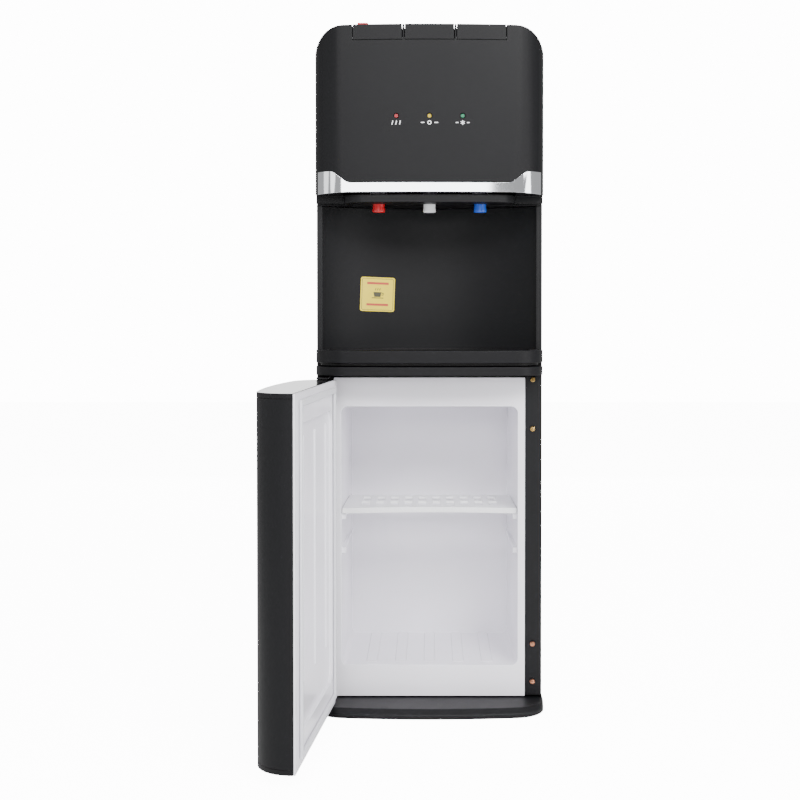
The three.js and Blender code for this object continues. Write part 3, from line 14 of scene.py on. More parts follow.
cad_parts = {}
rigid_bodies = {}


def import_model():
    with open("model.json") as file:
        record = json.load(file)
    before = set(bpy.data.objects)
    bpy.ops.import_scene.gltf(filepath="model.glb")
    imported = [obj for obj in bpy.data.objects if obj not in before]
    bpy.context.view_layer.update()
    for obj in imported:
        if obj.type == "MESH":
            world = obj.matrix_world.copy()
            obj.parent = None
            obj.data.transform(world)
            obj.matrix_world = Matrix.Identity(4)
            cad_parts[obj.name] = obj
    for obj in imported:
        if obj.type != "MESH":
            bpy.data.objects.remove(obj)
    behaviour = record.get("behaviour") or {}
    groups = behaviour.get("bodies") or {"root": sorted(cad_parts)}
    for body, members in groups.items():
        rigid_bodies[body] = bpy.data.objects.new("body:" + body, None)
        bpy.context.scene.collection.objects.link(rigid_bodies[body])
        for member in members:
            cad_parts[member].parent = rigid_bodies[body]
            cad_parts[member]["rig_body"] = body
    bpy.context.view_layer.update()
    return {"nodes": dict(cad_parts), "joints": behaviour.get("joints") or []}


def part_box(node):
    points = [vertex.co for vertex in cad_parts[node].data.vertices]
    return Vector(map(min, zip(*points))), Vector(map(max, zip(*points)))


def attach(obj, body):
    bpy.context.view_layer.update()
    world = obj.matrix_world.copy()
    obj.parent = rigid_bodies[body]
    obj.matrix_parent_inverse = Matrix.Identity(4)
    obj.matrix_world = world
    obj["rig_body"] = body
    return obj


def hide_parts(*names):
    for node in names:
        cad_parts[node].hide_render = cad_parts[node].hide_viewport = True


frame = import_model()

# %% [markdown]
# ## Camera, light and floor
# A studio packshot: a long lens low in front of the object, a white sweep and large soft
# boxes. The camera comes first so that every later choice can be judged through it.

# %% Camera
MM = 0.001
LENS_MM = 62.14
LENS_SHIFT = (-0.0368, -0.0762)
CAMERA_PLACE = (0.0, -1.9955, 0.5512)
CAMERA_DIP_DEG = 1.329

camera_data = bpy.data.cameras.new("camera")
camera_data.lens = LENS_MM
camera_data.sensor_width = 36.0
camera_data.shift_x, camera_data.shift_y = LENS_SHIFT
camera_data.dof.use_dof = False
camera = bpy.data.objects.new("camera", camera_data)
camera.location = CAMERA_PLACE
camera.rotation_euler = (math.radians(90.0 - CAMERA_DIP_DEG), 0.0, 0.0)
bpy.context.scene.collection.objects.link(camera)
bpy.context.scene.camera = camera
print("camera", tuple(round(v, 3) for v in camera.location))


# %% [markdown]
# ## Helpers for colours and nodes
# Colours are written as the sRGB hex values of a colour picker. Cycles works with linear
# light, so one function converts them, and one small function adds a node with its settings.

# %% Colour and node helpers
def linear(hex_colour):
    channels = [int(hex_colour[i:i + 2], 16) / 255 for i in (1, 3, 5)]
    curve = [c / 12.92 if c <= 0.04045 else ((c + 0.055) / 1.055) ** 2.4 for c in channels]
    return (*curve, 1.0)


def add(tree, kind, values=None, links=None, **settings):
    node = tree.nodes.new(kind)
    for name, value in settings.items():
        setattr(node, name, value)
    for socket, value in (values or {}).items():
        node.inputs[socket].default_value = value
    for socket, source in (links or {}).items():
        tree.links.new(source, node.inputs[socket])
    return node


# %% [markdown]
# ## Studio light
# A studio lights a glossy black object by what it reflects, so large soft boxes and white
# cards stand round it. An image of a studio could light it too, but area lights keep each
# reflection adjustable. The boxes are hidden from the camera. The white behind the object is
# far brighter to the camera than to the object, or it would wash out the black.

# %% Soft studio light
def soft_box(name, place, target, size, power, tint="#ffffff"):
    data = bpy.data.lights.new(name, "AREA")
    data.shape = "RECTANGLE"
    data.size, data.size_y = size
    data.energy = power
    data.color = linear(tint)[:3]
    light = bpy.data.objects.new(name, data)
    light.location = place
    aim = Vector(target) - Vector(place)
    light.rotation_euler = aim.to_track_quat("-Z", "Y").to_euler()
    light.visible_camera = False
    bpy.context.scene.collection.objects.link(light)


def white_studio(seen, felt):
    world = bpy.data.worlds.new("white studio")
    world.use_nodes = True
    tree = world.node_tree
    shader = tree.nodes["Background"]
    path = add(tree, "ShaderNodeLightPath")
    strength = add(tree, "ShaderNodeMapRange", {"To Min": felt, "To Max": seen},
                   {"Value": path.outputs["Is Camera Ray"]})
    shader.inputs["Color"].default_value = linear("#ffffff")
    tree.links.new(strength.outputs["Result"], shader.inputs["Strength"])
    bpy.context.scene.world = world


white_studio(seen=14.0, felt=0.5)
soft_box("front_box", (-0.2, -2.3, 0.92), (0, 0, 0.7), (1.5, 0.3), 10)
soft_box("right_box", (1.1, -2.3, 2.1), (0, 0, 0.4), (1.0, 1.0), 88)
soft_box("left_box", (-0.7, -2.7, 2.2), (0, 0, 0.3), (0.9, 0.9), 50)
soft_box("back_card", (0.0, 2.4, 0.9), (0, 0, 0.6), (2.6, 1.6), 26)
soft_box("right_card", (2.0, -1.3, 0.8), (0, 0, 0.55), (0.9, 1.4), 20)
soft_box("left_card", (-2.0, -1.6, 0.9), (0, 0, 0.6), (0.5, 1.2), 4)
soft_box("corner_card", (-1.9, -0.5, 0.9), (0, 0, 0.6), (0.6, 1.2), 3)
soft_box("top_box", (0.0, -0.2, 2.6), (0, 0, 0.6), (1.4, 1.2), 10)
print("eight soft boxes and cards")

# %% [markdown]
# ## Floor
# The sweep is a painted floor that the camera sees as plain white, with the same trick as
# the background. It is staging, not a piece of the dispenser.

# %% White floor
FLOOR_REACH = 6.0
FLOOR_GLOW = 12.0


def make_floor():
    mesh = bpy.data.meshes.new("floor")
    reach = FLOOR_REACH
    corners = [(-reach, -reach, 0), (reach, -reach, 0), (reach, reach, 0), (-reach, reach, 0)]
    mesh.from_pydata(corners, [], [(0, 1, 2, 3)])
    floor = bpy.data.objects.new("floor", mesh)
    bpy.context.scene.collection.objects.link(floor)
    material = bpy.data.materials.new("painted studio floor")
    material.use_nodes = True
    shader = material.node_tree.nodes["Principled BSDF"]
    shader.inputs["Base Color"].default_value = linear("#fafafa")
    shader.inputs["Roughness"].default_value = 0.9
    shader.inputs["Emission Color"].default_value = linear("#ffffff")
    tree = material.node_tree
    path = add(tree, "ShaderNodeLightPath")
    lift = add(tree, "ShaderNodeMapRange", {"To Min": 0.0, "To Max": FLOOR_GLOW},
               {"Value": path.outputs["Is Camera Ray"]})
    tree.links.new(lift.outputs["Result"], shader.inputs["Emission Strength"])
    mesh.materials.append(material)


make_floor()
print("white floor", 2 * FLOOR_REACH, "m wide")


# %% [markdown]
# ## Surfaces
# Nearly everything outside is black ABS: pellets melted and pressed into a steel tool whose
# walls were spark-eroded, which leaves a fine matt grain. The grain could be an image, but a
# noise pattern on Object coordinates keeps its true size on every piece. The grain of the
# real tool is about 0.15 mm, too fine to show from this far, so it is drawn 0.8 mm wide.

# %% Moulded plastic
def new_material(name):
    material = bpy.data.materials.new(name)
    material.use_nodes = True
    return material, material.node_tree, material.node_tree.nodes["Principled BSDF"]


def moulded(name, colour, roughness, grain_mm, grain_height, ior=1.54, coat=0.0, gloss=0.5):
    material, tree, shader = new_material(name)
    place = add(tree, "ShaderNodeTexCoord").outputs["Object"]
    grain = add(tree, "ShaderNodeTexNoise", {"Scale": 1 / (grain_mm * MM), "Detail": 3.0},
                {"Vector": place})
    flow = add(tree, "ShaderNodeTexNoise", {"Scale": 9.0, "Detail": 2.0}, {"Vector": place})
    tone = add(tree, "ShaderNodeMapRange", {"To Min": 0.94, "To Max": 1.06},
               {"Value": flow.outputs["Fac"]})
    base = add(tree, "ShaderNodeRGB")
    base.outputs[0].default_value = linear(colour)
    varied = add(tree, "ShaderNodeVectorMath", None,
                 {0: base.outputs[0], "Scale": tone.outputs["Result"]}, operation="SCALE")
    polish = add(tree, "ShaderNodeMapRange",
                 {"To Min": roughness * 0.9, "To Max": min(1.0, roughness * 1.12)},
                 {"Value": flow.outputs["Fac"]})
    bump = add(tree, "ShaderNodeBump", {"Strength": 0.35, "Distance": grain_height * MM},
               {"Height": grain.outputs["Fac"]})
    tree.links.new(varied.outputs["Vector"], shader.inputs["Base Color"])
    tree.links.new(polish.outputs["Result"], shader.inputs["Roughness"])
    tree.links.new(bump.outputs["Normal"], shader.inputs["Normal"])
    shader.inputs["IOR"].default_value = ior
    shader.inputs["Coat Weight"].default_value = coat
    shader.inputs["Specular IOR Level"].default_value = gloss
    return material


black_abs = moulded("black ABS, fine spark grain", "#08080b", 0.48, 0.8, 0.03, gloss=0.19)
grey_abs = moulded("dark grey ABS plinth", "#0b0b0e", 0.52, 0.9, 0.04, gloss=0.22)
cap_abs = moulded("polished black ABS", "#161618", 0.16, 1.2, 0.004, coat=0.4)
white_hips = moulded("white HIPS, vacuum formed", "#f3f1f8", 0.2, 6.0, 0.02, ior=1.59)
door_hips = moulded("white HIPS, glossy door panel", "#f3f2fa", 0.12, 9.0, 0.02, ior=1.59)
white_pp = moulded("white polypropylene", "#f0f0f2", 0.34, 1.0, 0.02, ior=1.49)
seal_pvc = moulded("soft white PVC seal", "#dddde2", 0.55, 0.7, 0.03)
red_abs = moulded("red ABS", "#c4161f", 0.3, 0.8, 0.01)
blue_abs = moulded("blue ABS", "#2257c8", 0.3, 0.8, 0.01)
green_abs = moulded("green ABS", "#1b8a50", 0.3, 0.8, 0.01)
eps_foam = moulded("expanded polystyrene beads", "#f2f2ec", 0.85, 4.0, 0.5)
silicone = moulded("milky silicone hose", "#dcdcd8", 0.4, 1.5, 0.02, ior=1.43)
soft_rubber = moulded("black moulded rubber", "#1b1b1c", 0.75, 0.8, 0.05)
board_green = moulded("solder-masked board", "#1c5a3a", 0.35, 1.4, 0.02)
print("moulded plastics ready")

# %% [markdown]
# ## Metals
# The side panels are sheet steel with a baked powder coat. The powder melts into soft
# ripples a couple of millimetres wide, the orange peel that makes its reflections waver.

# %% Powder-coated and bare metals
powder_black = moulded("powder-coated steel, black", "#09090c", 0.44, 2.2, 0.05, gloss=0.22)


def plated(name, colour, roughness, waviness_mm):
    material, tree, shader = new_material(name)
    place = add(tree, "ShaderNodeTexCoord").outputs["Object"]
    waves = add(tree, "ShaderNodeTexNoise", {"Scale": 1 / (waviness_mm * MM), "Detail": 1.0},
                {"Vector": place})
    haze = add(tree, "ShaderNodeMapRange", {"To Min": roughness, "To Max": roughness * 1.7},
               {"Value": waves.outputs["Fac"]})
    bump = add(tree, "ShaderNodeBump", {"Strength": 0.06, "Distance": 0.05 * MM},
               {"Height": waves.outputs["Fac"]})
    shader.inputs["Base Color"].default_value = linear(colour)
    shader.inputs["Metallic"].default_value = 1.0
    tree.links.new(haze.outputs["Result"], shader.inputs["Roughness"])
    tree.links.new(bump.outputs["Normal"], shader.inputs["Normal"])
    return material


def brushed(name, colour, roughness):
    material, tree, shader = new_material(name)
    place = add(tree, "ShaderNodeTexCoord").outputs["Object"]
    stretch = add(tree, "ShaderNodeMapping", {"Scale": (900.0, 900.0, 25.0)}, {"Vector": place})
    lines = add(tree, "ShaderNodeTexNoise", {"Scale": 1.0, "Detail": 4.0},
                {"Vector": stretch.outputs["Vector"]})
    streaks = add(tree, "ShaderNodeMapRange",
                  {"To Min": roughness * 0.7, "To Max": roughness * 1.4},
                  {"Value": lines.outputs["Fac"]})
    bump = add(tree, "ShaderNodeBump", {"Strength": 0.15, "Distance": 0.02 * MM},
               {"Height": lines.outputs["Fac"]})
    shader.inputs["Base Color"].default_value = linear(colour)
    shader.inputs["Metallic"].default_value = 1.0
    tree.links.new(streaks.outputs["Result"], shader.inputs["Roughness"])
    tree.links.new(bump.outputs["Normal"], shader.inputs["Normal"])
    return material


chrome = plated("chrome-plated ABS", "#eceef2", 0.07, 30.0)
brass_plate = plated("brass-plated steel", "#c9a869", 0.2, 2.0)
copper_plate = plated("copper-tinted passivated steel", "#b98368", 0.22, 2.0)
zinc_plate = brushed("zinc-plated steel", "#a9abad", 0.35)
stainless = brushed("stainless steel", "#b4b6b9", 0.28)
aluminium = brushed("mill-finish aluminium", "#b9bcbf", 0.35)


# %% [markdown]
# ## Lamp lenses
# A signal lamp is tinted epoxy cast over a small chip. Glass with a light inside would be
# truer, but at this size a glossy tinted surface with a faint glow looks the same.

# %% Lamps
def epoxy(name, colour, glow):
    material, tree, shader = new_material(name)
    place = add(tree, "ShaderNodeTexCoord").outputs["Object"]
    cloud = add(tree, "ShaderNodeTexNoise", {"Scale": 700.0}, {"Vector": place})
    tone = add(tree, "ShaderNodeMapRange", {"To Min": 0.12, "To Max": 0.22},
               {"Value": cloud.outputs["Fac"]})
    tree.links.new(tone.outputs["Result"], shader.inputs["Roughness"])
    shader.inputs["Base Color"].default_value = linear(colour)
    shader.inputs["Emission Color"].default_value = linear(colour)
    shader.inputs["Emission Strength"].default_value = glow
    shader.inputs["IOR"].default_value = 1.55
    return material


red_epoxy = epoxy("red epoxy lamp", "#8e0f1c", 0.05)
amber_epoxy = epoxy("yellow epoxy lamp", "#a8901c", 0.2)
green_epoxy = epoxy("green epoxy lamp", "#0f6b4a", 0.12)
print(len(bpy.data.materials), "materials so far")


# %% [markdown]
# ## Finishes by slot
# The record gives each node a slot, the finish a buyer could change. One table turns slots
# into materials, so a node that is already the right shape only swaps its surface.

# %% Give the frame its finishes
FINISHES = {
    "black_abs": black_abs, "black_gloss_abs": cap_abs, "black_steel": powder_black,
    "grey_abs": grey_abs, "chrome_plate": chrome, "white_liner": white_hips,
    "white_plastic": white_pp, "gasket_pvc": seal_pvc, "red_plastic": red_abs,
    "blue_plastic": blue_abs, "green_plastic": green_abs, "red_lens": red_epoxy,
    "yellow_lens": amber_epoxy, "green_lens": green_epoxy, "stainless": stainless,
    "zinc_steel": zinc_plate, "brass_plate": brass_plate, "bare_aluminium": aluminium,
    "foam_eps": eps_foam, "circuit_board": board_green, "silicone": silicone,
    "black_rubber": soft_rubber,
}
slot_of = {name: node.data.materials[0].name.split(".")[0]
           for name, node in frame["nodes"].items()}
for name, node in frame["nodes"].items():
    node.material_slots[0].link = "OBJECT"
    node.material_slots[0].material = FINISHES[slot_of[name]]
print(len(slot_of), "nodes use", len(set(slot_of.values())), "slots")


# %% [markdown]
# ## Softened edges
# A moulding tool and a folding press both leave rounded edges, and it is those that catch
# the light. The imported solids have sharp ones. Copying such a solid, merging its loose
# triangles and beveling its corners keeps the size exact and costs little work. A weighted
# normal then keeps the broad faces flat while the narrow bevels turn smoothly.

# %% A copy of a node with its edges softened
def link(name, mesh):
    piece = bpy.data.objects.new(name, mesh)
    bpy.context.scene.collection.objects.link(piece)
    return piece


MERGE_MM = 0.002
COPLANAR_DEG = 0.4


def merged_copy(node):
    shape = bmesh.new()
    shape.from_mesh(frame["nodes"][node].data)
    bmesh.ops.remove_doubles(shape, verts=shape.verts, dist=MERGE_MM * MM)
    bmesh.ops.dissolve_limit(shape, angle_limit=math.radians(COPLANAR_DEG),
                             verts=shape.verts, edges=shape.edges)
    return shape


def fitted(piece, node, material):
    piece.data.materials.clear()
    piece.data.materials.append(material)
    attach(piece, frame["nodes"][node]["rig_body"])
    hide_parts(node)


def softened(name, node, radius_mm, segments=3, sharp_deg=30.0):
    shape = merged_copy(node)
    mesh = bpy.data.meshes.new(name)
    shape.to_mesh(mesh)
    shape.free()
    piece = link(name, mesh)
    mesh.shade_smooth()
    bevel = piece.modifiers.new("softened edges", "BEVEL")
    bevel.width = radius_mm * MM
    bevel.segments = segments
    bevel.limit_method = "ANGLE"
    bevel.angle_limit = math.radians(sharp_deg)
    bevel.use_clamp_overlap = False
    bevel.miter_outer = "MITER_ARC"
    normals = piece.modifiers.new("flat faces", "WEIGHTED_NORMAL")
    normals.keep_sharp = True
    fitted(piece, node, FINISHES[slot_of[node]])
    return piece


# %% [markdown]
# Each piece gets the radius that its maker would leave, in millimetres. The door's caps are
# polished on their flat ends and grained round the sides, so they take two materials.

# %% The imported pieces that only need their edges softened
SOFT_EDGES = {
    "base_plinth": 1.2, "front_housing": 1.0, "splash_panel": 0.5, "tray_ledge": 0.8,
    "drip_tray": 0.8, "door_shell": 0.3, "door_top_cap": 0.3, "door_bottom_cap": 0.3,
    "door_liner": 1.2, "door_gasket": 1.6, "cabinet_liner": 1.0, "top_cover": 1.0,
    "bottle_collar": 0.8, "key_hot": 0.2, "key_room": 0.2, "key_cold": 0.2,
    "chrome_trim": 0.3, "tap_lip": 0.6, "side_panel_left": 0.4, "side_panel_right": 0.4,
    "child_lock": 0.6, "hinge_upper": 0.3, "hinge_lower": 0.3,
    "switch_plate": 0.5, "switch_hot": 0.5, "switch_cold": 0.5, "drain_cap": 0.5,
    "cord_gland": 0.4,
}
FACES_UP_OR_DOWN = 0.9
for node, radius in SOFT_EDGES.items():
    piece = softened(node + "_finished", node, radius)
    if node in ("door_top_cap", "door_bottom_cap"):
        piece.data.materials.clear()
        for finish in (black_abs, cap_abs):
            piece.data.materials.append(finish)
        for face in piece.data.polygons:
            face.material_index = int(abs(face.normal.z) > FACES_UP_OR_DOWN)
print(len(SOFT_EDGES), "pieces softened")


# %% [markdown]
# ## Geometry Nodes for what repeats
# Slots, screws and beads repeat at a fixed spacing, so each gets a small node tree with its
# sizes as named inputs. Modelling them one by one would work too, but a tree keeps the
# spacing exact and lets a learner change a number and watch the row follow. Each tree ends
# by realizing its instances, and the result is stored as a plain mesh.

# %% Helpers for node trees
def grower(name, sizes):
    tree = bpy.data.node_groups.new(name, "GeometryNodeTree")
    tree.is_modifier = True
    tree.interface.new_socket("Base", in_out="INPUT", socket_type="NodeSocketGeometry")
    for size, default in sizes.items():
        kind = "NodeSocketInt" if isinstance(default, int) else "NodeSocketFloat"
        socket = tree.interface.new_socket(size, in_out="INPUT", socket_type=kind)
        socket.default_value = default
    tree.interface.new_socket("Result", in_out="OUTPUT", socket_type="NodeSocketGeometry")
    return tree, add(tree, "NodeGroupInput").outputs


def finish_tree(tree, geometry, material):
    coated = add(tree, "GeometryNodeSetMaterial", {"Material": material},
                 {"Geometry": geometry})
    add(tree, "NodeGroupOutput", None, {"Result": coated.outputs["Geometry"]})


def grown(name, base, tree, sizes):
    piece = link(name, base)
    modifier = piece.modifiers.new("tree", "NODES")
    modifier.node_group = tree
    for item in tree.interface.items_tree:
        if item.item_type == "SOCKET" and item.name in sizes:
            modifier[item.identifier] = sizes[item.name]
    view = bpy.context.evaluated_depsgraph_get()
    mesh = bpy.data.meshes.new_from_object(piece.evaluated_get(view))
    piece.modifiers.clear()
    piece.data = mesh
    print(name, "grew", len(mesh.polygons), "faces")
    return piece


def hung_on(piece, body, slot, *nodes):
    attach(piece, body)
    if nodes:
        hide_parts(*nodes)


def eased(piece, radius_mm, segments=2, sharp_deg=30.0):
    piece.data.shade_smooth()
    bevel = piece.modifiers.new("softened edges", "BEVEL")
    bevel.width = radius_mm * MM
    bevel.segments = segments
    bevel.limit_method = "ANGLE"
    bevel.angle_limit = math.radians(sharp_deg)
    normals = piece.modifiers.new("flat faces", "WEIGHTED_NORMAL")
    normals.keep_sharp = True


# %% [markdown]
# ## Shelf
# The shelf is one thin moulding: a plate with a turned-down lip whose front edge is hollowed
# by an arc, and two rows of drain slots. The lipped plate is drawn point by point because its
# outline follows the tapering cavity. The slots are cut by a node tree.

# %% Outline of the shelf
SHELF_LOW, SHELF_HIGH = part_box("shelf")
SHELF_BOW_MM = 12.0
SHELF_TAPER_MM = 2.9
SHELF_PLATE_MM = 3.0
SHELF_WALL_MM = 2.5
ARC_STEPS = 24


def shelf_outline(inset):
    half_front = SHELF_HIGH.x / MM - inset
    half_back = half_front - SHELF_TAPER_MM
    front, back = SHELF_LOW.y / MM + inset, SHELF_HIGH.y / MM - inset
    radius = (half_front ** 2 + SHELF_BOW_MM ** 2) / (2 * SHELF_BOW_MM)
    reach = math.asin(half_front / radius)
    steps = [reach * (1 - 2 * i / ARC_STEPS) for i in range(ARC_STEPS + 1)]
    arc = [(radius * math.sin(-a), front + SHELF_BOW_MM - radius + radius * math.cos(a))
           for a in steps]
    return arc + [(half_back, back), (-half_back, back)]


# %% Plate with a turned-down lip
def mesh_from(shape, name):
    mesh = bpy.data.meshes.new(name)
    shape.to_mesh(mesh)
    shape.free()
    return mesh


def lipped_plate():
    top, bottom = SHELF_HIGH.z / MM, SHELF_LOW.z / MM
    outer, inner = shelf_outline(0), shelf_outline(SHELF_WALL_MM)
    shape = bmesh.new()
    rings = [[shape.verts.new((x * MM, y * MM, z * MM)) for x, y in ring] for ring, z in (
        (outer, top), (outer, bottom), (inner, bottom), (inner, top - SHELF_PLATE_MM))]
    count = len(outer)
    for upper, lower in zip(rings, rings[1:]):
        for i in range(count):
            j = (i + 1) % count
            shape.faces.new((upper[i], lower[i], lower[j], upper[j]))
    shape.faces.new(rings[0])
    shape.faces.new(list(reversed(rings[3])))
    bmesh.ops.recalc_face_normals(shape, faces=shape.faces)
    return mesh_from(shape, "lipped plate")


# %% [markdown]
# The mould's pins leave the slots, so a grid of plain boxes cut out of the plate gives the
# same result, and the tree's inputs say how many there are and how far apart.

# %% Slots in the shelf
CUTTER_DEPTH_MM = 12


def slot_tree():
    tree, given = grower("shelf slots", {
        "Slots": 10, "Rows": 2, "Pitch": 20 * MM, "Row Step": 47 * MM, "Slot Width": 11.5 * MM,
        "Slot Length": 33 * MM, "First Row": -39.5 * MM, "Height": 273 * MM})
    across = add(tree, "ShaderNodeMath", {1: -1.0}, {0: given["Slots"]}, operation="ADD")
    spread = add(tree, "ShaderNodeMath", None,
                 {0: across.outputs[0], 1: given["Pitch"]}, operation="MULTIPLY")
    grid = add(tree, "GeometryNodeMeshGrid", None,
               {"Size X": spread.outputs[0], "Size Y": given["Row Step"],
                "Vertices X": given["Slots"], "Vertices Y": given["Rows"]})
    half_step = add(tree, "ShaderNodeMath", {1: 0.5},
                    {0: given["Row Step"], 2: given["First Row"]}, operation="MULTIPLY_ADD")
    place = add(tree, "ShaderNodeCombineXYZ", None,
                {"Y": half_step.outputs[0], "Z": given["Height"]})
    moved = add(tree, "GeometryNodeTransform", None,
                {"Geometry": grid.outputs["Mesh"], "Translation": place.outputs[0]})
    size = add(tree, "ShaderNodeCombineXYZ", {"Z": CUTTER_DEPTH_MM * MM},
               {"X": given["Slot Width"], "Y": given["Slot Length"]})
    cutter = add(tree, "GeometryNodeMeshCube", None, {"Size": size.outputs[0]})
    copies = add(tree, "GeometryNodeInstanceOnPoints", None,
                 {"Points": moved.outputs["Geometry"], "Instance": cutter.outputs["Mesh"]})
    real = add(tree, "GeometryNodeRealizeInstances", None,
               {"Geometry": copies.outputs["Instances"]})
    cut = add(tree, "GeometryNodeMeshBoolean", None,
              {"Mesh 1": given["Base"], "Mesh 2": real.outputs["Geometry"]},
              operation="DIFFERENCE")
    finish_tree(tree, cut.outputs["Mesh"], white_pp)
    return tree


shelf = grown("shelf_with_slots", lipped_plate(), slot_tree(), {})
eased(shelf, 0.25)
hung_on(shelf, "shelf", "white_plastic", "shelf")


# %% [markdown]
# ## Screws
# Four cross-head screws hold the right panel's front fold. A screw head is turned, then a
# punch presses the cross into it. One tree cuts two crossed bars out of a domed disc and
# sets a copy on every point it is given, so any row of screws is a list of points.

# %% A tree that sets cross-head screws on points
CROWN_SHARE = 0.72     # flat top of the head against its whole width


def screw_tree(material):
    tree, given = grower("cross-head screws", {
        "Head Radius": 3.7 * MM, "Head Height": 1.8 * MM, "Cross Length": 4.4 * MM,
        "Cross Width": 1.1 * MM})
    crown = add(tree, "ShaderNodeMath", {1: CROWN_SHARE}, {0: given["Head Radius"]},
                operation="MULTIPLY")
    head = add(tree, "GeometryNodeMeshCone", {"Vertices": 28},
               {"Radius Bottom": given["Head Radius"], "Radius Top": crown.outputs[0],
                "Depth": given["Head Height"]})
    bars = []
    for order in (("Cross Length", "Cross Width"), ("Cross Width", "Cross Length")):
        size = add(tree, "ShaderNodeCombineXYZ", {"Z": 2.0 * MM},
                   {"X": given[order[0]], "Y": given[order[1]]})
        cube = add(tree, "GeometryNodeMeshCube", None, {"Size": size.outputs[0]})
        lift = add(tree, "ShaderNodeCombineXYZ", None, {"Z": given["Head Height"]})
        bars.append(add(tree, "GeometryNodeTransform", None,
                        {"Geometry": cube.outputs["Mesh"], "Translation": lift.outputs[0]}))
    cut = head
    for bar in bars:
        cut = add(tree, "GeometryNodeMeshBoolean", None,
                  {"Mesh 1": cut.outputs["Mesh"], "Mesh 2": bar.outputs["Geometry"]},
                  operation="DIFFERENCE")
    facing = add(tree, "GeometryNodeTransform", {"Rotation": (math.pi / 2, 0.0, 0.0)},
                 {"Geometry": cut.outputs["Mesh"]})
    copies = add(tree, "GeometryNodeInstanceOnPoints", None,
                 {"Points": given["Base"], "Instance": facing.outputs["Geometry"]})
    real = add(tree, "GeometryNodeRealizeInstances", None,
               {"Geometry": copies.outputs["Instances"]})
    finish_tree(tree, real.outputs["Geometry"], material)
    return tree


# %% Screws in the fold
def points_mesh(name, points):
    mesh = bpy.data.meshes.new(name)
    mesh.from_pydata([tuple(point) for point in points], [], [])
    return mesh


def screw_seats(*nodes):
    seats = []
    for node in nodes:
        low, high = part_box(node)
        seats.append(((low.x + high.x) / 2, low.y, (low.z + high.z) / 2))
    return seats


def screw_row(name, material, *nodes):
    row = grown(name, points_mesh(name, screw_seats(*nodes)), screw_tree(material), {})
    eased(row, 0.18)
    hung_on(row, "cabinet", "brass_plate", *nodes)


screw_row("flange_screws_upper", brass_plate, "flange_screw_1", "flange_screw_2")
screw_row("flange_screws_lower", copper_plate, "flange_screw_3", "flange_screw_4")


# %% [markdown]
# ## Turned shapes
# Spouts are turned shapes: a profile of radius and height swept about an upright axis.
# Writing the profile as a short list keeps the soft waist of a spout easy to read.

# %% Spouts
def turned(name, profile, centre, material, sides=48):
    shape = bmesh.new()
    rings = []
    for radius, height in profile:
        ring = []
        for i in range(sides):
            angle = 2 * math.pi * i / sides
            offset = (radius * math.cos(angle), radius * math.sin(angle), height)
            ring.append(shape.verts.new([c + o * MM for c, o in zip(centre, offset)]))
        rings.append(ring)
    for lower, upper in zip(rings, rings[1:]):
        for i in range(sides):
            j = (i + 1) % sides
            shape.faces.new((lower[i], lower[j], upper[j], upper[i]))
    shape.faces.new(list(reversed(rings[0])))
    shape.faces.new(rings[-1])
    bmesh.ops.recalc_face_normals(shape, faces=shape.faces)
    mesh = mesh_from(shape, name)
    mesh.materials.append(material)
    mesh.shade_smooth()
    mesh.set_sharp_from_angle(angle=math.radians(50))
    return link(name, mesh)


def spout(node, material, slot):
    low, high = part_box(node)
    top = (high.z - low.z) / MM
    centre = ((low.x + high.x) / 2, (low.y + high.y) / 2, low.z)
    profile = [(5.0, 4.0), (5.0, 0.6), (5.6, 0.0), (7.6, 0.0), (8.3, 0.35), (8.6, 1.2),
               (8.5, 3.0), (8.1, 6.0), (8.05, 8.0), (8.4, top - 0.6), (8.6, top), (3.0, top)]
    hung_on(turned(node + "_turned", profile, centre, material), "cabinet", slot, node)


spout("nozzle_hot", red_abs, "red_plastic")
spout("nozzle_room", white_pp, "white_plastic")
spout("nozzle_cold", blue_abs, "blue_plastic")
print("three spouts turned")


# %% [markdown]
# ## Marks on the surfaces
# The lamps need marks that say what they mean without words: rising bars for hot, a ring
# with a stroke for power and a six-armed star for cold. The splash panel carries a yellow
# label with a cup on it. All of them are pad-printed or stuck on, so each is a thin skin
# that follows the curved surface behind it. Flat outlines are cut into narrow strips before
# they are wrapped, or the middle of a wide label would sink into the panel.

# %% The two curved surfaces
FRONT_BOW = 1.0        # radius of the head's front
HEAD_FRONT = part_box("front_housing")[0].y
SPLASH_RADIUS = 0.2119 # of the hollow in the splash panel
SPLASH_CENTRE_Y = -0.2469


def head_surface(x):
    return HEAD_FRONT + FRONT_BOW - math.sqrt(FRONT_BOW ** 2 - x * x)


def splash_surface(x):
    return SPLASH_CENTRE_Y + math.sqrt(SPLASH_RADIUS ** 2 - x * x)


# %% Wrapping flat artwork round them
STRIP_MM = 3
BACK_GAP_MM = 0.02


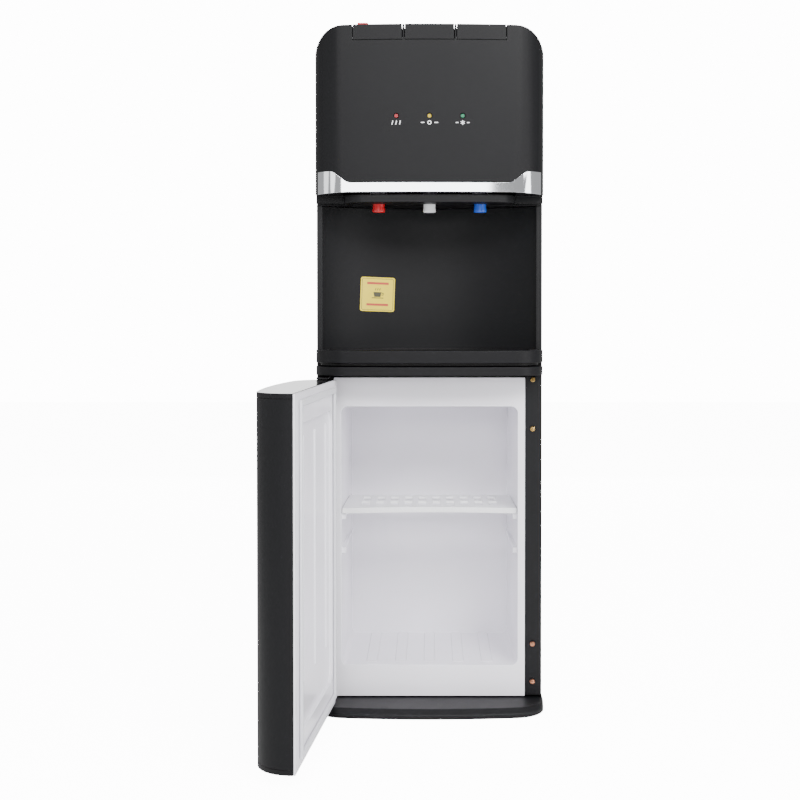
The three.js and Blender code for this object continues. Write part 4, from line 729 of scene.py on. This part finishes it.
def wrapped(name, outlines, centre, surface, thickness_mm, material, tilt_deg=0.0):
    shape = bmesh.new()
    for outline in outlines:
        loop = [shape.verts.new((x * MM, 0.0, z * MM)) for x, z in outline]
        shape.faces.new(loop)
    turn = Matrix.Rotation(math.radians(tilt_deg), 4, "Y")
    place = Matrix.Translation((centre[0], 0.0, centre[1])) @ turn
    bmesh.ops.transform(shape, matrix=place, verts=shape.verts)
    left, right = min(v.co.x for v in shape.verts), max(v.co.x for v in shape.verts)
    strips = int((right - left) / (STRIP_MM * MM))
    for i in range(1, strips + 1):
        bmesh.ops.bisect_plane(
            shape, geom=shape.verts[:] + shape.edges[:] + shape.faces[:], dist=1e-7,
            plane_co=(left + (right - left) * i / (strips + 1), 0, 0), plane_no=(1, 0, 0))
    for face in shape.faces:
        face.normal_update()
        if face.normal.y > 0:
            face.normal_flip()
    back = bmesh.ops.duplicate(shape, geom=shape.verts[:] + shape.edges[:] + shape.faces[:])
    behind = {g for g in back["geom"] if isinstance(g, bmesh.types.BMVert)}
    back_faces = [g for g in back["geom"] if isinstance(g, bmesh.types.BMFace)]
    rim = [e for e in shape.edges if e.is_boundary and e.verts[0] not in behind]
    pair = back["vert_map"]
    for edge in rim:
        a, b = edge.verts
        shape.faces.new((a, b, pair[b], pair[a]))
    bmesh.ops.reverse_faces(shape, faces=back_faces)
    for vertex in shape.verts:
        stand = BACK_GAP_MM if vertex in behind else thickness_mm
        vertex.co.y = surface(vertex.co.x) - stand * MM
    bmesh.ops.recalc_face_normals(shape, faces=shape.faces)
    mesh = mesh_from(shape, name)
    mesh.materials.append(material)
    return link(name, mesh)


# %% Flat outlines
def box_outline(x0, x1, z0, z1):
    return [(x0, z0), (x1, z0), (x1, z1), (x0, z1)]


def rounded_outline(half_x, half_z, radius, steps=6):
    points = []
    for quarter, (sx, sz) in enumerate(((1, 1), (-1, 1), (-1, -1), (1, -1))):
        for i in range(steps + 1):
            angle = math.pi / 2 * (quarter + i / steps)
            points.append((sx * (half_x - radius) + radius * math.cos(angle),
                           sz * (half_z - radius) + radius * math.sin(angle)))
    return points


def band_between(outer, inner):
    count = len(outer)
    return [[outer[i], outer[(i + 1) % count], inner[(i + 1) % count], inner[i]]
            for i in range(count)]


def bar_outline(length, width, angle_deg, centre=(0.0, 0.0)):
    turn = math.radians(angle_deg)
    corners = [(-length / 2, -width / 2), (length / 2, -width / 2),
               (length / 2, width / 2), (-length / 2, width / 2)]
    return [(centre[0] + x * math.cos(turn) - z * math.sin(turn),
             centre[1] + x * math.sin(turn) + z * math.cos(turn)) for x, z in corners]


def round_outline(radius, steps=28):
    angles = [2 * math.pi * i / steps for i in range(steps)]
    return [(radius * math.cos(a), radius * math.sin(a)) for a in angles]


# %% [markdown]
# A pad printer presses wet ink on with a soft pad, so a mark has a sharp edge and hardly any
# thickness. An image would do, but a thin skin stays crisp from close by.

# %% Lamp marks
INK_MM = 0.12
white_ink = moulded("white pad-printing ink", "#e8e8ea", 0.45, 0.6, 0.004)
MARK_Z = 0.7950
lamp_x = [sum(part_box("lamp_" + n)[i].x for i in (0, 1)) / 2 for n in ("hot", "power", "cold")]
hot_mark = [bar_outline(5.4, 1.3, 78, (x, 0)) for x in (-5.0, 0.0, 5.0)]
power_mark = band_between(round_outline(2.8), round_outline(1.6))
power_mark += [bar_outline(5.0, 1.2, 0, (x, 0)) for x in (-9.0, 9.0)]
cold_mark = [bar_outline(6.0, 1.1, 30 + 60 * i) for i in range(3)]
cold_mark += [bar_outline(3.4, 1.2, 0, (x, 0)) for x in (-7.4, 7.4)]
for name, x, mark in zip(("hot", "power", "cold"), lamp_x, (hot_mark, power_mark, cold_mark)):
    piece = wrapped("mark_" + name, mark, (x, MARK_Z), head_surface, INK_MM, white_ink)
    hung_on(piece, "cabinet", "white_plastic")
print("marks at", [round(x / MM) for x in lamp_x], "mm")

# %% [markdown]
# The label is a printed vinyl sheet stuck on a little crooked. Its border, cup and stripes
# are skins a hair above the sheet, so none of them needs an image.

# %% Label on the splash panel
LABEL_MM = 0.25
LABEL_INK_MM = 0.32
yellow_vinyl = moulded("yellow printed vinyl label", "#e2cb2a", 0.38, 1.5, 0.01)
dark_ink = moulded("dark printing ink", "#3c3a20", 0.45, 0.8, 0.004)
red_ink = moulded("red printing ink", "#b4452a", 0.45, 0.8, 0.004)
LABEL = (-0.0730, 0.5690)
LABEL_TILT = 2.0
label = wrapped("label_sheet", [rounded_outline(23.7, 24.0, 3.0)], LABEL, splash_surface,
                LABEL_MM, yellow_vinyl, LABEL_TILT)
hung_on(label, "cabinet", "yellow_lens")
border = wrapped("label_border", band_between(rounded_outline(21.9, 22.2, 2.2),
                                              rounded_outline(21.3, 21.6, 1.8)),
                 LABEL, splash_surface, LABEL_INK_MM, dark_ink, LABEL_TILT)
hung_on(border, "cabinet", "black_abs")
cup = [[(-6.0, 3.2), (-4.6, -3.6), (4.0, -3.6), (5.4, 3.2)], box_outline(5.6, 8.2, 1.4, 2.4),
       box_outline(7.2, 8.2, -1.2, 1.4), box_outline(5.2, 7.2, -1.2, -0.3),
       box_outline(-8.0, 8.0, -5.6, -4.5)]
steam = [bar_outline(3.6, 0.9, 75, (x, 7.2)) for x in (-3.0, 0.0, 3.0)]
drawn_cup = wrapped("label_cup", cup + steam, LABEL, splash_surface, LABEL_INK_MM, dark_ink,
                    LABEL_TILT)
hung_on(drawn_cup, "cabinet", "black_abs")
stripes = [box_outline(-15, 15, z - 1.6, z + 1.6) for z in (15.5, -14.5)]
drawn_stripes = wrapped("label_stripes", stripes, LABEL, splash_surface, LABEL_INK_MM,
                        red_ink, LABEL_TILT)
hung_on(drawn_stripes, "cabinet", "red_plastic")
print("label at", LABEL)

# %% [markdown]
# An ejector pin or a feed point leaves a faint ring in a moulding, here on the middle line.

# %% Moulded ring on the splash panel
RING_PLACE = (0.0, 0.563)
RING_MM = 0.2
ring = wrapped("splash_mark", band_between(round_outline(5.2), round_outline(4.5)),
               RING_PLACE, splash_surface, RING_MM, black_abs)
hung_on(ring, "cabinet", "black_abs")
print("ring at", RING_PLACE)

# %% [markdown]
# ## Beads pressed into the door panel
# A vacuum-formed sheet this wide would drum and sag, so the maker presses long beads into
# it. Three run nearly the full height. A tree sweeps a round section along a line, copies it
# at a fixed spacing, and the lower half simply sinks into the panel.

# %% Beads
DOOR_TURN = math.radians(-95.0)      # the door is packed open by this much
DOOR_PIN = Vector(next(j for j in frame["joints"] if j["name"] == "door_hinge")["pos_m"])
DOOR_PLACE = (Matrix.Translation(DOOR_PIN) @ Matrix.Rotation(DOOR_TURN, 4, "Z")
              @ Matrix.Translation(-DOOR_PIN))
PANEL_Y = -0.110                     # inner face of the closed door
BEAD_SPACING_MM = 82.5
BEAD_SINK_MM = 1.2
BEAD_MIDDLE_Z = 0.252


def bead_tree():
    tree, given = grower("pressed beads", {
        "Beads": 3, "Spacing": BEAD_SPACING_MM * MM, "Length": 296 * MM, "Radius": 3.0 * MM})
    ends = [add(tree, "ShaderNodeVectorMath", {0: (0.0, 0.0, half)}, operation="SCALE")
            for half in (0.5, -0.5)]
    for end in ends:
        tree.links.new(given["Length"], end.inputs["Scale"])
    line = add(tree, "GeometryNodeCurvePrimitiveLine", None,
               {"Start": ends[0].outputs[0], "End": ends[1].outputs[0]})
    section = add(tree, "GeometryNodeCurvePrimitiveCircle", {"Resolution": 20},
                  {"Radius": given["Radius"]})
    rod = add(tree, "GeometryNodeCurveToMesh", {"Fill Caps": True},
              {"Curve": line.outputs["Curve"], "Profile Curve": section.outputs["Curve"]})
    step = add(tree, "ShaderNodeCombineXYZ", None, {"X": given["Spacing"]})
    row = add(tree, "GeometryNodeMeshLine", None,
              {"Count": given["Beads"], "Offset": step.outputs[0]})
    copies = add(tree, "GeometryNodeInstanceOnPoints", None,
                 {"Points": row.outputs["Mesh"], "Instance": rod.outputs["Mesh"]})
    real = add(tree, "GeometryNodeRealizeInstances", None,
               {"Geometry": copies.outputs["Instances"]})
    finish_tree(tree, real.outputs["Geometry"], door_hips)
    return tree


beads = grown("door_beads", points_mesh("beads", []), bead_tree(), {})
middle = Vector((-BEAD_SPACING_MM * MM, PANEL_Y - BEAD_SINK_MM * MM, BEAD_MIDDLE_Z))
beads.data.transform(DOOR_PLACE @ Matrix.Translation(middle))
eased(beads, 2.0, segments=4)
hung_on(beads, "door", "white_liner")

# %% [markdown]
# ## Louvres on the back
# The lower vents are slots with a pressed ridge over each, which stiffens the thin sheet and
# keeps drips out. The flat sheet stays as packed, and a tree lays a row of ridges on it.

# %% Ridges over the vents
REAR_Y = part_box("rear_panel")[1].y
RIDGE_SINK_MM = 0.8
LOWEST_RIDGE_Z = 0.1276


def ridge_tree():
    tree, given = grower("vent ridges", {
        "Ridges": 8, "Pitch": 14 * MM, "Length": 120 * MM, "Radius": 2.6 * MM})
    rod = add(tree, "GeometryNodeMeshCylinder", {"Vertices": 24},
              {"Radius": given["Radius"], "Depth": given["Length"]})
    lying = add(tree, "GeometryNodeTransform", {"Rotation": (0.0, math.pi / 2, 0.0)},
                {"Geometry": rod.outputs["Mesh"]})
    step = add(tree, "ShaderNodeCombineXYZ", None, {"Z": given["Pitch"]})
    row = add(tree, "GeometryNodeMeshLine", None,
              {"Count": given["Ridges"], "Offset": step.outputs[0]})
    copies = add(tree, "GeometryNodeInstanceOnPoints", None,
                 {"Points": row.outputs["Mesh"], "Instance": lying.outputs["Geometry"]})
    real = add(tree, "GeometryNodeRealizeInstances", None,
               {"Geometry": copies.outputs["Instances"]})
    finish_tree(tree, real.outputs["Geometry"], powder_black)
    return tree


ridges = grown("vent_ridges", points_mesh("ridges", []), ridge_tree(), {})
ridges.data.transform(Matrix.Translation((0, REAR_Y - RIDGE_SINK_MM * MM, LOWEST_RIDGE_Z)))
eased(ridges, 1.2)
hung_on(ridges, "cabinet", "black_steel")
